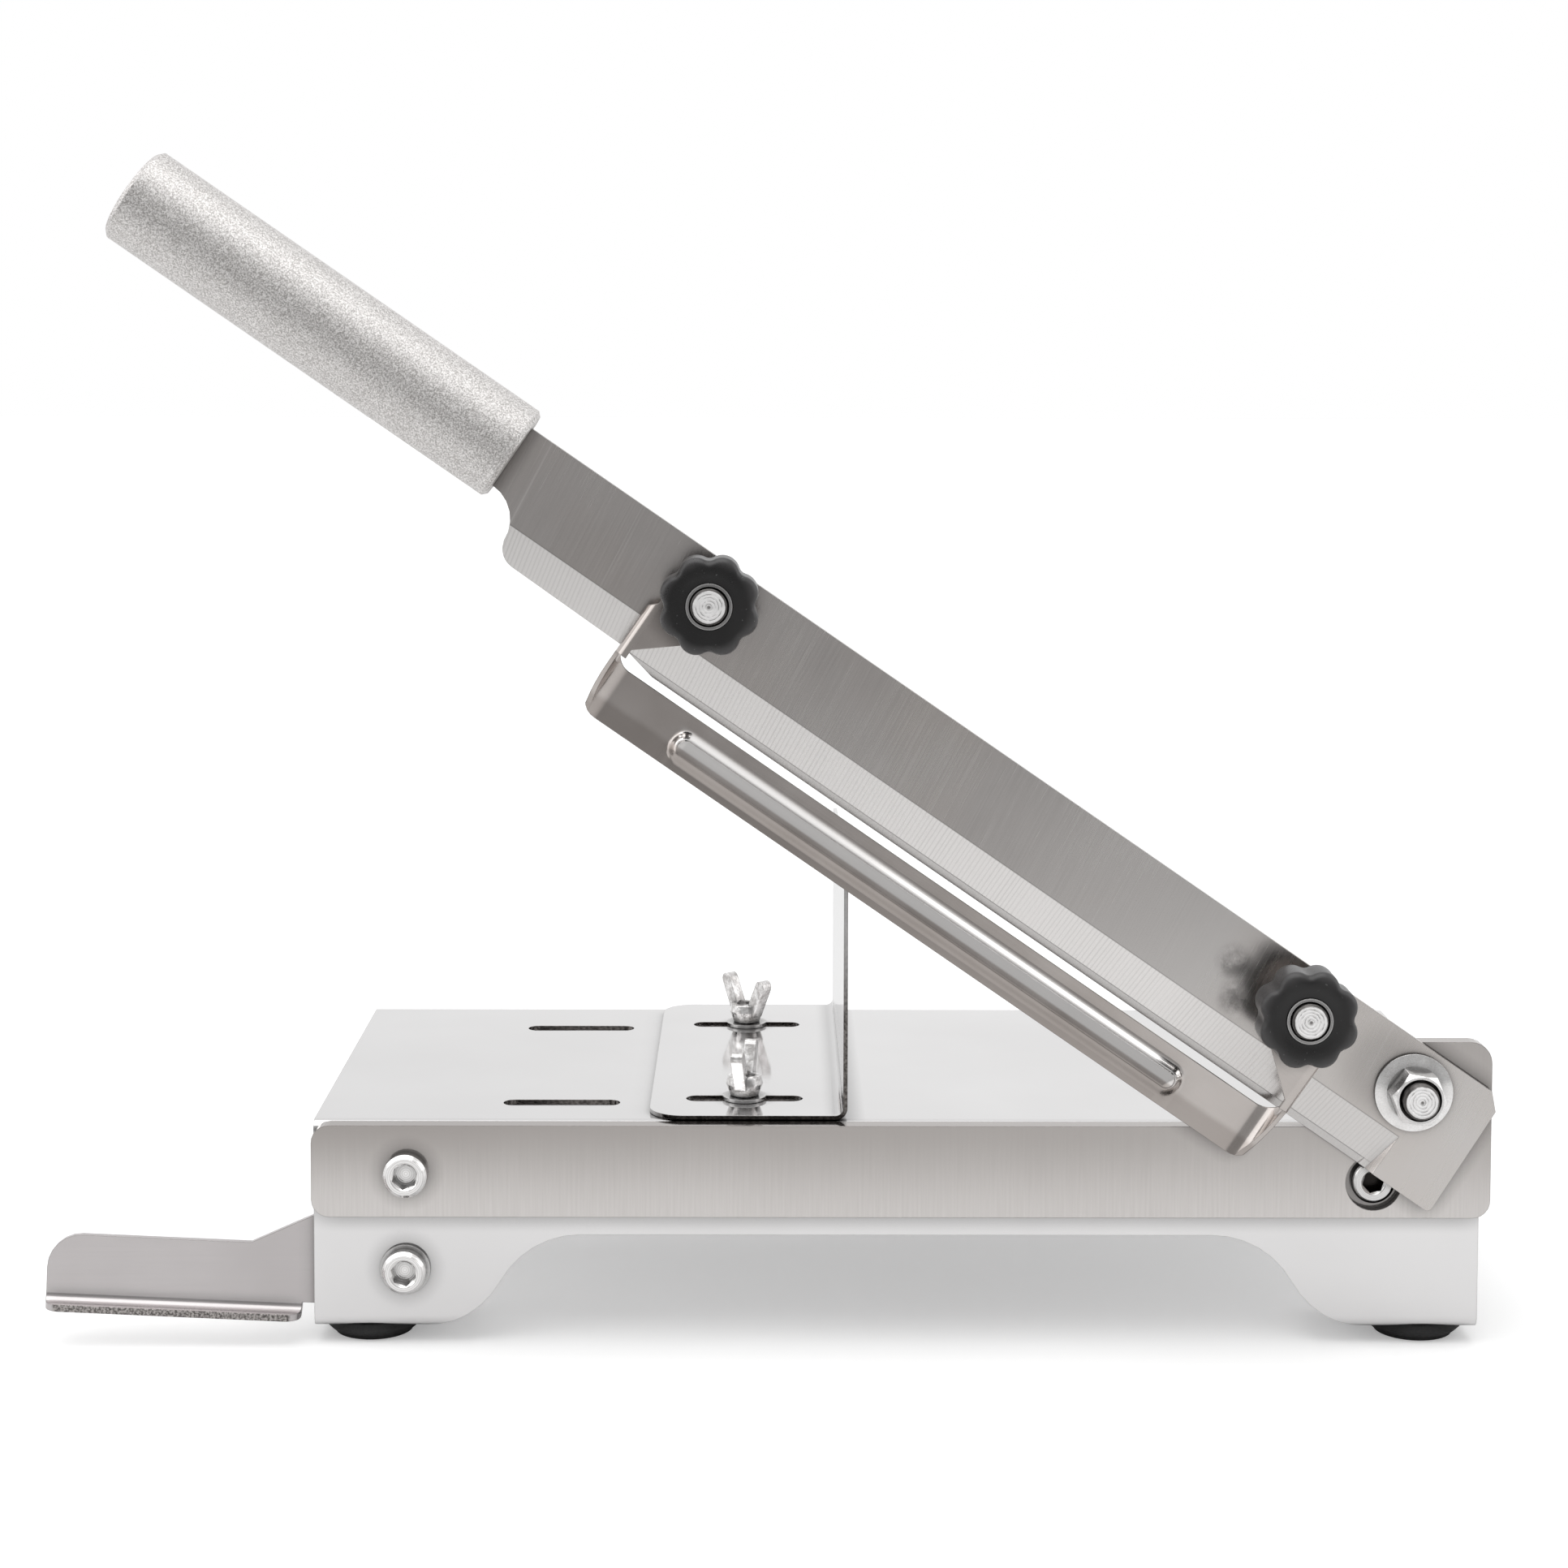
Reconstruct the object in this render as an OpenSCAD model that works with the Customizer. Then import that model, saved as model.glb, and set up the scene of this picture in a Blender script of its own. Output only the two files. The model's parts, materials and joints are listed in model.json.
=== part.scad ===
/* [Base] */
// Length of the folded sheet table, left to right
base_w = 328; // [312:1:350]
// Depth of the table, front skirt to rear skirt
base_d = 140; // [125:1:165]
// Height of the table over the undersides of its legs
base_h = 59; // [54:1:70]
// Thickness of the table sheet
sheet_t = 1.5; // [1:0.1:2]
// Outside radius of the sheet's folds
fold_r = 3; // [2.5:0.1:4]
// Width of each leg where it meets its foot
leg_w = 30; // [29:0.5:36]
// Height of the arch between the legs
arch_h = 26.5; // [20:0.5:28]
// Length of each curved side of the arch
arch_run = 45; // [40:1:55]
// Depth of the turned-in flange over each foot
foot_flange = 29; // [28.5:0.5:34]
// Height of the small lip at each end of the table
lip_h = 7; // [5:0.5:10]

/* [Feet] */
// Outside diameter of a rubber foot
foot_d = 27.5; // [24:0.5:28]
// Height of a rubber foot
foot_h = 5; // [4.5:0.1:8]
// Height of the narrow pad under each foot
pad_h = 1.4; // [1:0.1:2]
// Shank diameter of the foot screws
foot_screw_d = 5; // [4:0.5:6]

/* [Cutting bar] */
// Height of the bar
bar_h = 26; // [24:0.5:27]
// Thickness of the bar and of its ear
bar_t = 5; // [4:0.5:7]
// How far the bar stands past the right end of the table
bar_over = 2; // [0:0.5:4]
// Radius of the bar's corners
bar_r = 5; // [3:0.5:7]
// Height of the ear over the bar
ear_rise = 24; // [22:0.5:27]
// Width of the ear
ear_w = 46; // [42:1:52]
// Radius of the ear's upper corners
ear_r = 6; // [4:0.5:9]
// Radius where the ear grows out of the bar
ear_fillet = 7; // [4:0.5:9]

/* [Pivot] */
// Diameter of the pivot stud
pivot_d = 10; // [8:0.5:12]
// Running clearance between the stud and the blade, on the radius
pivot_clear = 0.08; // [0.05:0.01:0.1]
// Height of the pivot over the table
pivot_rise = 10.7; // [10:0.1:12]
// Distance from the pivot to the right end of the table
pivot_inset = 20.7; // [19:0.1:23]
// Flange diameter of the pivot nut
nut_flange_d = 21.8; // [20:0.2:24]
// Height of the pivot nut
nut_h = 9.5; // [8:0.5:11]

/* [Blade] */
// Angle of the blade over the table as it rests
blade_angle = 34.6; // [20:0.1:50]
// Thickness of the blade
blade_t = 3; // [2.5:0.1:4]
// Gap between the blade and the bar
blade_gap = 0.15; // [0.1:0.05:0.3]
// Width of the blade, spine to edge
blade_w = 38; // [36:0.5:42]
// Distance from the spine to the pivot
spine_up = 12.6; // [12:0.1:14]
// Length of the heel behind the pivot
heel_l = 22.2; // [20:0.1:24]
// Length of the blade from the pivot to the handle
reach_l = 306; // [300:1:330]
// Width of the ground bevel
bevel_w = 12.8; // [10:0.1:14]
// How far the bevel runs past the pivot towards the heel
bevel_past = 4.1; // [2:0.1:8]
// Width of the fine second bevel along the edge
edge_w = 2.2; // [1.5:0.1:3]
// Thickness left at the cutting edge
edge_t = 0.25; // [0.15:0.05:0.4]

/* [Handle] */
// Diameter of the handle
handle_d = 28; // [24:0.5:32]
// Length of the handle
handle_l = 126; // [110:1:140]
// Height of the handle's axis over the line through the pivot
handle_up = 3.6; // [2:0.1:5]
// Length of the tang inside the handle
tang_l = 70; // [50:1:90]
// Width of the tang
tang_w = 14; // [10:0.5:16]

/* [Thickness guide] */
// Length of the guide over its end flanges
guide_l = 225; // [215:1:232]
// Thickness of the guide sheet
guide_t = 1.2; // [1:0.1:1.4]
// Width of the strip
strip_w = 14.7; // [12:0.1:18]
// Gap between the cutting edge and the strip, along the blade's width
strip_gap = 3.3; // [2.5:0.1:5]
// Inside radius of the bends beside the strip
bend_r = 5.4; // [4:0.1:6]
// Height of the ears over the face of the blade
guide_ear_h = 10; // [9.5:0.1:12]
// Distance from the guide's right end to the pivot
guide_start = 27.6; // [26:0.1:32]
// Length of the embossed rib
rib_l = 173; // [150:1:180]
// Width of the embossed rib
rib_w = 10.8; // [8:0.1:11.4]
// Height of the embossed rib
rib_h = 1.7; // [1:0.1:2]

/* [Guide knobs] */
// Diameter of the guide studs
stud_d = 10; // [8:0.5:10]
// Pitch of the thread on the guide studs
stud_pitch = 1.5; // [1:0.25:1.5]
// Distance from a stud to the end of the guide
stud_inset = 13.6; // [13:0.1:16]
// Height of the studs over the line through the pivot
stud_up = 1.8; // [0:0.1:3]
// Diameter of a knob over its lobes
knob_d = 27.6; // [24:0.2:30]
// Height of a knob
knob_h = 12; // [10:0.5:14]
// Number of lobes round a knob
knob_lobes = 8; // [6:1:10]
// Diameter of the threaded insert in a knob
insert_d = 12.6; // [12.2:0.1:14]
// How far the guide can be screwed in from rest
guide_in = 1.3; // [1:0.1:1.5]
// Wire diameter of the return springs
spring_wire = 1.2; // [0.8:0.1:1.3]
// Turns of each return spring
spring_turns = 3.5; // [3:0.5:4]

/* [Meat stop] */
// Width of the stop's foot, along the table
stop_w = 56; // [52:1:64]
// Height of the stop's upright over the table
stop_h = 66; // [50:1:80]
// Thickness of the stop's sheet
stop_t = 1.2; // [1:0.1:1.5]
// Inside radius of the fold between foot and upright
stop_bend = 2.2; // [1.5:0.1:4]
// Place of the stop's upright, measured from the middle of the table
stop_x = -13.9; // [-16:0.1:-10]
// Radius of the foot's outer corners
stop_corner = 10; // [6:0.5:14]
// Length of the slots in the table and in the foot
slot_l = 33.5; // [30:0.5:36]
// Width of the slots
slot_w = 6.5; // [6.3:0.1:7]
// Distance from the table's front and rear to the slots
slot_inset = 20; // [18:0.5:26]
// Distance between the two pairs of table slots
slot_pitch = 52.5; // [46:0.5:56]
// Diameter of the clamp bolts
bolt_d = 6; // [5:0.1:6.2]

/* [Side bracket] */
// Thickness of the side bracket
bracket_t = 1.9; // [1.6:0.1:3]
// How far the bracket stands out past the left end of the table
bracket_out = 76; // [60:1:90]
// Height of the bracket's outer part
bracket_h = 20.8; // [17:0.1:24]
// Depth of the bracket's bent lip, from the back of its plate
bracket_flange = 6.4; // [6:0.1:12]
// Inside radius of the lip's bend
bracket_bend = 2.4; // [1:0.1:2.8]
// Lean of the bracket, down to the right
bracket_lean = 2.5; // [0:0.1:4]
// Head diameter of the bracket's cap screws
cap_d = 12.2; // [11:0.1:13]
// Shank diameter of the bracket's cap screws
cap_shank = 8; // [6:0.5:8]

/* [Hidden] */
$fn = 48;

// Cuts run past the faces that they open
over = 2;
// Flat faces of neighbours that move on each other keep this gap
slip = 0.1;
// Pieces that sit in holes of their own body keep this gap
seat = 0.05;
// Points on each curved stretch of an outline
arc_steps = 6;

// Pieces of steel colour
steel = [0.78, 0.77, 0.76];
bright = [0.9, 0.9, 0.9];
zinc = [0.72, 0.72, 0.72];
dark = [0.55, 0.54, 0.53];
rubber = [0.1, 0.1, 0.1];
plastic = [0.15, 0.15, 0.16];

// Heights from the ground up
legs_z = foot_h;
table_z = foot_h + base_h;
bar_z = table_z - bar_h;
left_x = -base_w / 2;
right_x = base_w / 2;

// The arch: two equal arcs on each side, level at both ends
arch_r = (arch_run * arch_run + arch_h * arch_h) / (4 * arch_h);
arch_phi = asin(arch_run / 2 / arch_r);
arch_foot_x = base_w / 2 - leg_w;
arch_top_x = arch_foot_x - arch_run;

// Feet and their screws
foot_inset = leg_w / 2;
foot_hole_d = foot_screw_d + 0.4 * slip;
pad_d_share = 0.8;
foot_head_d = 1.8 * foot_screw_d;
foot_head_h = 0.5 * foot_screw_d;
foot_nut_d = 1.85 * foot_screw_d;
foot_nut_h = 0.8 * foot_screw_d;
foot_screw_proud = 1.5;
foot_centres = [for (x = [left_x + foot_inset, right_x - foot_inset])
                for (y = [foot_inset, base_d - foot_inset]) [x, y]];

// Pivot and blade planes
pivot_x = right_x - pivot_inset;
pivot_z = table_z + pivot_rise;
blade_front = -(bar_t + blade_gap + blade_t);
ear_x = right_x + bar_over - ear_w;
ear_top = table_z + ear_rise;
nut_af_share = 0.62;
nut_flange_share = 0.2;
nut_turn = 8;
stud_chamfer = 0.4 * stud_pitch;
pivot_nut_y = blade_front - slip;
pivot_end = pivot_nut_y - nut_h - 4 * stud_chamfer;
washer_t = 1.6;
locknut_h = 0.8 * pivot_d;
locknut_d = 1.75 * pivot_d;
pivot_rear = washer_t + locknut_h + stud_chamfer;

// Blade outline, along the blade and across it
edge_v = spine_up - blade_w;
heel_chamfer = 4.2;
heel_slant = 1.2;
heel_r = 1.5;
bevel_runout = 2.6;
neck_v = edge_v + 0.5 * blade_w;
belly_v = edge_v + 0.085 * blade_w;
toe_l = 20;
toe_r = 6;
neck_r = 11;
worn_l = 54;
worn_run = 12;
tang_v = handle_up - tang_w / 2;
handle_chamfer = 1.2;

// Guide, seen along the blade: ends, studs and strip
guide_end = guide_start + guide_l;
strip_top = edge_v - strip_gap;
strip_bottom = strip_top - strip_w;
stud_us = [guide_start + stud_inset, guide_end - stud_inset];
ear_bend = 2.2;
ear_rear = guide_ear_h - guide_t - ear_bend;
ear_round = 11;
ear_top_v = stud_up + ear_round;
ear_bend_rise = 19;
ear_bend_top = edge_v + ear_bend_rise;
flange_foot = 1.5;
flange_step = 3;
flange_low = strip_bottom + flange_step;
flange_lift = 1.6;
flange_high = edge_v + flange_lift;
flange_wide = 3.4;
ridge_share = 0.42;
ridge_step = 0.3;
guide_corner = 6;
guide_hole_d = stud_d + 6 * slip;
knob_y = -guide_ear_h;
stud_proud = 1.2;
stud_end = guide_ear_h + knob_h + stud_proud;
stud_head_d = 1.35 * stud_d;
stud_head_h = 0.5 * blade_t;
scallop_share = 0.2;
knob_round = 1.8;
knob_dish = 0.6;
knob_dish_d = 0.78 * knob_d;
insert_mouth = 2.5;
insert_mouth_d = (2 * stud_d + insert_d) / 3;
spring_d = stud_d + 2.6 * spring_wire;
spring_rise = guide_ear_h - guide_t - guide_in - 2 * slip;
spring_sides = 6;
spring_steps = 20;

// Meat stop, its bolts and its wing nuts
foot_left = stop_x - stop_w;
slot_mid = foot_left + stop_w * 0.48;
slot_ys = [slot_inset, base_d - 1.45 * slot_inset];
bolt_head_d = 1.9 * bolt_d;
bolt_head_h = 0.6 * bolt_d;
bolt_top = 1.25 * bolt_d;
stop_washer_t = 1;
stop_washer_d = 2.1 * bolt_d;
stop_edge = 1;
wing_h = 0.95 * bolt_d;
wing_z = table_z + slip + stop_t + stop_washer_t + slip;
wing_foot = [0.6 * bolt_d, 0.5 * bolt_d];
wing_tip = [1.4 * bolt_d, 2.05 * bolt_d];
wing_t = 3.4;
wing_r = 1.9;
near_wing_turn = 77;
far_wing_turn = 129;

// Side bracket and its screws
cap_inset = 26.6;
cap_x = left_x + cap_inset;
cap_shift = 0.9;
upper_cap_z = bar_z + 0.48 * bar_h;
lower_cap_z = legs_z + 0.285 * base_h;
cap_places = [[cap_x, upper_cap_z], [cap_x - cap_shift, lower_cap_z]];
bracket_in = 40;
bracket_z = 6;
bracket_cover = 7;
bracket_top = upper_cap_z + bracket_cover;
bracket_corner = 9.5;
bracket_nose = 4.5;
bracket_fold = bracket_z + bracket_bend + bracket_t;
cap_head_h = 0.52 * cap_shank;
cap_hex = 0.52 * cap_d;
upper_cap_turn = 21;
lower_cap_turn = 43;
socket_rim = 1;
cap_washer_t = 1;
cap_nut_h = 0.8 * cap_shank;
cap_nut_d = 1.85 * cap_shank;
cap_proud = 1.5;
bar_screw_inset = 10;
bar_screw_x = pivot_x - bar_screw_inset;
bar_screw_z = bar_z + 0.39 * bar_h;
bar_screw_d = 12.2;
bar_screw_hole = 15.8;
bar_screw_shank = 8;
bar_screw_turn = 12;

// The origin lies at the middle of the whole, on the ground
function on_blade(p) = [
    pivot_x - p[0] * cos(blade_angle) + p[1] * sin(blade_angle),
    pivot_z + p[0] * sin(blade_angle) + p[1] * cos(blade_angle)
];
heel_points = [[-heel_l, spine_up - heel_chamfer], [heel_chamfer - heel_l, spine_up]];
heel_right = max([for (p = heel_points) on_blade(p)[0]]);
all_right = max(right_x + bar_over, heel_right);
all_left = left_x - bracket_out;
// The bracket's left end as drawn, so that its lowest corner reaches all_left once it leans
bracket_x0 = cap_x + (all_left - cap_x + (lower_cap_z - bracket_z) * sin(bracket_lean)) / cos(bracket_lean);
mid_x = (all_left + all_right) / 2;
mid_y = (base_d + blade_front - stud_end) / 2;

function arc(c, r, from, to) = [
    for (i = [0 : arc_steps])
        let (a = from + (to - from) * i / arc_steps) c + r * [cos(a), sin(a)]
];

module placed() {
    translate([-mid_x, -mid_y, 0]) children();
}

// A flat outline in x and z, made a plate that stands from y = 0 towards the front
module plate(t) {
    rotate([90, 0, 0]) linear_extrude(t) children();
}

// Puts what is drawn along the blade (x from the pivot to the handle) in its place
module along_blade() {
    translate([pivot_x, blade_front, pivot_z])
        rotate([0, blade_angle, 0])
            mirror([1, 0, 0])
                children();
}

// A rod or hole whose axis runs front to back, from y = rear to y = front
module cross_rod(d, rear, front) {
    translate([0, rear, 0]) rotate([90, 0, 0]) cylinder(d = d, h = rear - front);
}

module round_rect(w, h, r) {
    translate([r, 0]) square([w - 2 * r, h]);
    translate([0, r]) square([w, h - 2 * r]);
    for (x = [r, w - r])
        for (y = [r, h - r])
            translate([x, y]) circle(r);
}

module slot(l, w) {
    square([l - w, w], center = true);
    for (s = [-1, 1])
        translate([s * (l - w) / 2, 0]) circle(d = w);
}

// Base
module arch_outline() {
    half = concat(
        [[arch_foot_x, -over]],
        arc([arch_foot_x, arch_r], arch_r, -90, -90 - arch_phi),
        arc([arch_top_x, arch_h - arch_r], arch_r, 90 - arch_phi, 90)
    );
    other = [for (i = [len(half) - 1 : -1 : 0]) [-half[i][0], half[i][1]]];
    polygon(concat(half, other));
}

module sheet_section() {
    difference() {
        round_rect(base_d, base_h, fold_r);
        translate([sheet_t, sheet_t])
            round_rect(base_d - 2 * sheet_t, base_h - 2 * sheet_t, fold_r - sheet_t);
        translate([foot_flange, -over])
            square([base_d - 2 * foot_flange, over + sheet_t + over]);
    }
}

module end_lips() {
    for (x = [left_x, right_x - sheet_t])
        translate([x, fold_r, table_z - lip_h])
            cube([sheet_t, base_d - 2 * fold_r, lip_h - sheet_t / 2]);
}

module base_sheet() {
    color(bright)
        difference() {
            union() {
                translate([left_x, 0, legs_z])
                    rotate([90, 0, 90])
                        linear_extrude(base_w) sheet_section();
                end_lips();
            }
            translate([0, base_d + over, legs_z])
                plate(base_d + 2 * over) arch_outline();
            for (x = [slot_mid - slot_pitch, slot_mid])
                for (y = slot_ys)
                    translate([x, y, table_z - sheet_t - over])
                        linear_extrude(sheet_t + 2 * over) slot(slot_l, slot_w);
            for (p = cap_places)
                translate([p[0], 0, p[1]]) cross_rod(cap_shank + 2 * slip, over + sheet_t, -over);
            translate([bar_screw_x, 0, bar_screw_z])
                cross_rod(bar_screw_shank + 2 * slip, over + sheet_t, -over);
            for (p = foot_centres)
                translate([p[0], p[1], legs_z - over])
                    cylinder(d = foot_hole_d, h = sheet_t + 2 * over);
        }
}

// Feet, each with its screw through the turned-in flange and a nut on top
module foot_shape() {
    pad_r = pad_d_share * foot_d / 2;
    rotate_extrude()
        polygon([
            [0, 0], [pad_r, 0], [pad_r, pad_h], [foot_d / 2 - pad_h, pad_h],
            [foot_d / 2, 2 * pad_h], [foot_d / 2 - pad_h / 2, foot_h], [0, foot_h]
        ]);
}

module rubber_feet() {
    color(rubber)
        for (p = foot_centres)
            translate([p[0], p[1], 0])
                difference() {
                    foot_shape();
                    translate([0, 0, -over]) cylinder(d = foot_hole_d, h = foot_h + 2 * over);
                    translate([0, 0, -over])
                        cylinder(d = foot_head_d + 2 * slip, h = foot_head_h + pad_h / 2 + over);
                }
}

module foot_screws() {
    rise = foot_h - pad_h / 2 + sheet_t + foot_nut_h + foot_screw_proud;
    color(zinc)
        for (p = foot_centres)
            translate([p[0], p[1], pad_h / 2])
                difference() {
                    union() {
                        cylinder(d = foot_head_d, h = foot_head_h);
                        cylinder(d = foot_screw_d, h = rise);
                    }
                    for (turn = [0, 90])
                        rotate([0, 0, turn])
                            translate([0, 0, foot_head_h / 4])
                                cube(
                                    [foot_screw_d, foot_screw_d / 5, foot_head_h / 2 + slip],
                                    center = true
                                );
                }
}

module hex_nut(across_corners, bore, h) {
    difference() {
        cylinder(d = across_corners, h = h, $fn = 6);
        translate([0, 0, -over]) cylinder(d = bore + 2 * seat, h = h + 2 * over);
    }
}

module foot_nuts() {
    color(zinc)
        for (p = foot_centres)
            translate([p[0], p[1], legs_z + sheet_t])
                hex_nut(foot_nut_d, foot_screw_d, foot_nut_h);
}

// Cutting bar with its ear
module bar_outline() {
    x0 = left_x;
    x1 = right_x + bar_over;
    polygon(concat(
        arc([x0 + bar_r, bar_z + bar_r], bar_r, 180, 270),
        arc([x1 - bar_r, bar_z + bar_r], bar_r, 270, 360),
        arc([x1 - ear_r, ear_top - ear_r], ear_r, 0, 90),
        arc([ear_x + ear_r, ear_top - ear_r], ear_r, 90, 180),
        arc([ear_x - ear_fillet, table_z + ear_fillet], ear_fillet, 0, -90),
        arc([x0 + bar_r, table_z - bar_r], bar_r, 90, 180)
    ));
}

module cutting_bar() {
    color(steel)
        difference() {
            plate(bar_t) bar_outline();
            translate([pivot_x, 0, pivot_z]) cross_rod(pivot_d + 2 * seat, over, -bar_t - over);
            translate([cap_x, 0, upper_cap_z]) cross_rod(cap_shank + 2 * slip, over, -bar_t - over);
            translate([bar_screw_x, 0, bar_screw_z]) {
                cross_rod(bar_screw_shank + 2 * slip, over, -bar_t - over);
                cross_rod(bar_screw_hole, -bar_t / 2, -bar_t - over);
            }
        }
}

// Screw whose head lies towards the front, its seat at y = 0
module socket_screw(head_d, head_h, shank_d, shank_l, hex, depth, turn) {
    rim = socket_rim;
    mouth = hex / cos(30);
    difference() {
        union() {
            cross_rod(head_d, 0, rim - head_h);
            translate([0, rim - head_h, 0])
                rotate([90, 0, 0]) cylinder(d1 = head_d, d2 = head_d - 2 * rim, h = rim);
            cross_rod(shank_d, shank_l, -head_h / 2);
        }
        translate([0, depth - head_h, 0])
            rotate([90, -turn, 0])
                cylinder(d = mouth, h = depth + over, $fn = 6);
        translate([0, rim - head_h, 0])
            rotate([90, 0, 0]) cylinder(d1 = hex - rim, d2 = mouth + 2 * rim, h = 1.5 * rim);
    }
}

module bar_screw() {
    color(zinc)
        translate([bar_screw_x, -bar_t / 2, bar_screw_z])
            socket_screw(
                bar_screw_d, bar_t / 2, bar_screw_shank,
                bar_t / 2 + sheet_t + 0.8 * bar_screw_shank + cap_proud, 0.45 * bar_screw_d,
                0.8 * bar_t, bar_screw_turn
            );
}

module rear_nut(d, bore, h) {
    rotate([-90, 0, 0]) hex_nut(d, bore, h);
}

module bar_nut() {
    color(zinc)
        translate([bar_screw_x, sheet_t, bar_screw_z])
            rear_nut(cap_nut_d, bar_screw_shank, 0.8 * bar_screw_shank);
}

// Pivot
module pivot_stud() {
    color(zinc)
        translate([pivot_x, 0, pivot_z]) {
            cross_rod(pivot_d, pivot_rear, pivot_end + stud_chamfer);
            translate([0, pivot_end + stud_chamfer, 0])
                rotate([90, 0, 0])
                    cylinder(d1 = pivot_d, d2 = pivot_d - 2 * stud_chamfer, h = stud_chamfer);
        }
}

module pivot_nut() {
    flange_h = nut_flange_share * nut_h;
    hex_d = nut_af_share * nut_flange_d / cos(30);
    color(zinc)
        translate([pivot_x, pivot_nut_y, pivot_z])
            rotate([90, nut_turn, 0])
                difference() {
                    union() {
                        cylinder(d = nut_flange_d, h = flange_h / 2);
                        translate([0, 0, flange_h / 2])
                            cylinder(d1 = nut_flange_d, d2 = hex_d, h = flange_h / 2);
                        intersection() {
                            cylinder(d = hex_d, h = nut_h, $fn = 6);
                            translate([0, 0, nut_h - hex_d / 2])
                                cylinder(d1 = 2 * hex_d, d2 = 0.96 * hex_d * cos(30), h = hex_d / 2);
                        }
                    }
                    translate([0, 0, -over]) cylinder(d = pivot_d + 2 * seat, h = nut_h + 2 * over);
                    translate([0, 0, nut_h - 2 * stud_chamfer])
                        cylinder(d1 = pivot_d, d2 = pivot_d + 3 * stud_chamfer, h = 2 * stud_chamfer + seat);
                }
}

module pivot_washer() {
    color(zinc)
        translate([pivot_x, 0, pivot_z])
            difference() {
                cross_rod(2 * pivot_d - stud_chamfer, washer_t, 0);
                cross_rod(pivot_d + 2 * seat, washer_t + over, -over);
            }
}

module pivot_locknut() {
    color(zinc)
        translate([pivot_x, washer_t, pivot_z]) rear_nut(locknut_d, pivot_d, locknut_h);
}

// Side bracket: a plate behind the skirt, with a lip bent forward along its lower edge
module bracket_outline() {
    x0 = bracket_x0;
    x1 = left_x + bracket_in;
    xs = left_x - 0.24 * bracket_out;
    top = bracket_z + bracket_h;
    rise = top + 0.43 * bracket_h;
    polygon(concat(
        [[x0, bracket_fold]],
        arc([x0 + bracket_corner, top - bracket_corner], bracket_corner, 180, 90),
        [[xs, top], [xs + 0.16 * bracket_out, top + 0.29 * bracket_h], [left_x, rise]],
        [[left_x + sheet_t, rise], [left_x + 4 * sheet_t, bracket_top], [x1, bracket_top]],
        [[x1, bracket_fold]]
    ));
}

// Section of the lip, in y and z, with a lap of the plate over it
module lip_section() {
    outer = bracket_bend + bracket_t;
    rear = sheet_t + bracket_t;
    intersection() {
        translate([rear - outer, bracket_fold]) bend_ring(bracket_bend, outer);
        translate([rear - outer, bracket_z]) square([outer, outer]);
    }
    translate([rear - bracket_flange, bracket_z]) square([bracket_flange - outer, bracket_t]);
    translate([sheet_t, bracket_fold]) square([bracket_t, bracket_t]);
}

module bracket_lip() {
    l = left_x - 1.7 * bracket_t - bracket_x0;
    intersection() {
        translate([bracket_x0, 0, 0]) rotate([90, 0, 90]) linear_extrude(l) lip_section();
        translate([bracket_x0, sheet_t + bracket_t - bracket_flange, 0])
            linear_extrude(table_z)
                round_rect(l, bracket_flange + 2 * bracket_nose, bracket_nose);
    }
}

module side_bracket() {
    color(steel)
        difference() {
            translate([cap_x, 0, lower_cap_z])
                rotate([0, bracket_lean, 0])
                    translate([-cap_x, 0, -lower_cap_z]) {
                        translate([0, sheet_t + bracket_t, 0]) plate(bracket_t) bracket_outline();
                        bracket_lip();
                    }
            for (p = cap_places)
                translate([p[0], 0, p[1]])
                    cross_rod(cap_shank + 2 * slip, over + sheet_t + bracket_t, -over);
        }
}

module cap_screws() {
    grip = sheet_t + bracket_t + cap_nut_h + cap_proud;
    deep = 0.9 * cap_head_h;
    upper = cap_places[0];
    lower = cap_places[1];
    color(zinc) {
        translate([upper[0], -bar_t, upper[1]])
            socket_screw(cap_d, cap_head_h, cap_shank, bar_t + grip, cap_hex, deep, upper_cap_turn);
        translate([lower[0], -cap_washer_t, lower[1]])
            socket_screw(cap_d, cap_head_h, cap_shank, cap_washer_t + grip, cap_hex, deep, lower_cap_turn);
    }
}

module cap_washer() {
    color(zinc)
        translate([cap_places[1][0], 0, lower_cap_z])
            difference() {
                cross_rod(cap_d + 2 * cap_washer_t, 0, -cap_washer_t);
                cross_rod(cap_shank + 2 * seat, over, -cap_washer_t - over);
            }
}

module cap_nuts() {
    color(zinc)
        for (p = cap_places)
            translate([p[0], sheet_t + bracket_t, p[1]]) rear_nut(cap_nut_d, cap_shank, cap_nut_h);
}

// Blade with its tang; drawn from the pivot (0, 0) towards the handle
module blade_outline() {
    toe_u = reach_l - toe_l;
    worn_u = reach_l - worn_l;
    polygon(concat(
        arc([heel_r - heel_l - heel_slant, edge_v + heel_r], heel_r, 270, 180),
        [heel_points[0], heel_points[1], [reach_l, spine_up]],
        [[reach_l, tang_v + tang_w], [reach_l + tang_l, tang_v + tang_w]],
        [[reach_l + tang_l, tang_v], [reach_l, tang_v]],
        arc([reach_l, neck_v - neck_r], neck_r, 90, 180),
        arc([toe_u + toe_r / 2, belly_v + toe_r], toe_r, -15, -90),
        [[worn_u, belly_v - edge_w / 4], [worn_u - worn_run, edge_v]]
    ));
}

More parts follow.
